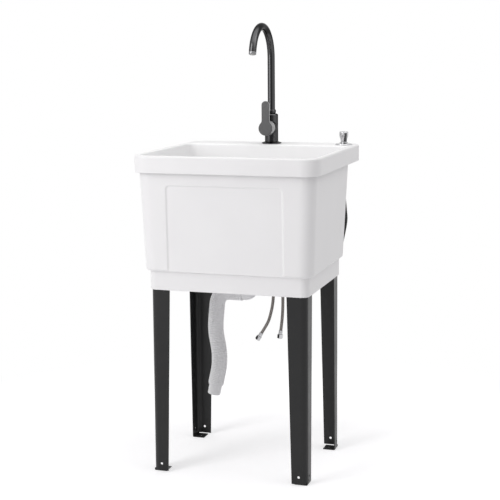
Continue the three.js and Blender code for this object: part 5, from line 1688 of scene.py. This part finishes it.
class SINK_OT_sprayer(SinkOperator, bpy.types.Operator):
    """Make the side sprayer and its holder"""

    bl_idname = "sink.sprayer"
    bl_label = "Sprayer"

    def execute(self, context):
        make_sprayer()
        return {"FINISHED"}


class SINK_OT_strainer(SinkOperator, bpy.types.Operator):
    """Make the strainer and its basket"""

    bl_idname = "sink.strainer"
    bl_label = "Strainer"

    def execute(self, context):
        make_strainer()
        make_basket()
        return {"FINISHED"}


class SINK_OT_drain_fittings(SinkOperator, bpy.types.Operator):
    """Make the drain's elbow, slip nut and washer"""

    bl_idname = "sink.drain_fittings"
    bl_label = "Drain fittings"

    def execute(self, context):
        make_drain_fittings()
        return {"FINISHED"}


OPERATORS = (
    SINK_OT_stage,
    SINK_OT_supply_hoses,
    SINK_OT_sprayer_hose,
    SINK_OT_drain_hose,
    SINK_OT_tub,
    SINK_OT_legs,
    SINK_OT_faucet,
    SINK_OT_spout,
    SINK_OT_handle,
    SINK_OT_sprayer,
    SINK_OT_strainer,
    SINK_OT_drain_fittings,
)


class SINK_PT_panel(bpy.types.Panel):
    """Lists the sink's pieces, sizes and finishes"""

    bl_idname = "SINK_PT_panel"
    bl_label = "Laundry sink"
    bl_space_type = "VIEW_3D"
    bl_region_type = "UI"
    bl_category = "Sink"

    def draw(self, context):
        for operator in OPERATORS:
            self.layout.operator(operator.bl_idname)
        scene = context.scene
        for group in (scene.sink_sizes, scene.sink_finishes, scene.sink_stage):
            for name in group.bl_rna.properties.keys():
                if name not in ("rna_type", "name"):
                    self.layout.prop(group, name)


CLASSES = (SinkSizes, SinkFinishes, SinkStage, *OPERATORS, SINK_PT_panel)


def register():
    for made in CLASSES:
        bpy.utils.register_class(made)
    bpy.types.Scene.sink_sizes = bpy.props.PointerProperty(type=SinkSizes)
    bpy.types.Scene.sink_finishes = bpy.props.PointerProperty(type=SinkFinishes)
    bpy.types.Scene.sink_stage = bpy.props.PointerProperty(type=SinkStage)


def unregister():
    del bpy.types.Scene.sink_stage
    del bpy.types.Scene.sink_finishes
    del bpy.types.Scene.sink_sizes
    for made in reversed(CLASSES):
        bpy.utils.unregister_class(made)


def main():
    register()
    for operator in OPERATORS:
        name = operator.bl_idname.split(".")[1]
        if getattr(bpy.ops.sink, name)() != {"FINISHED"}:
            raise RuntimeError(f"{operator.bl_label} was not made")


if __name__ == "__main__":
    main()
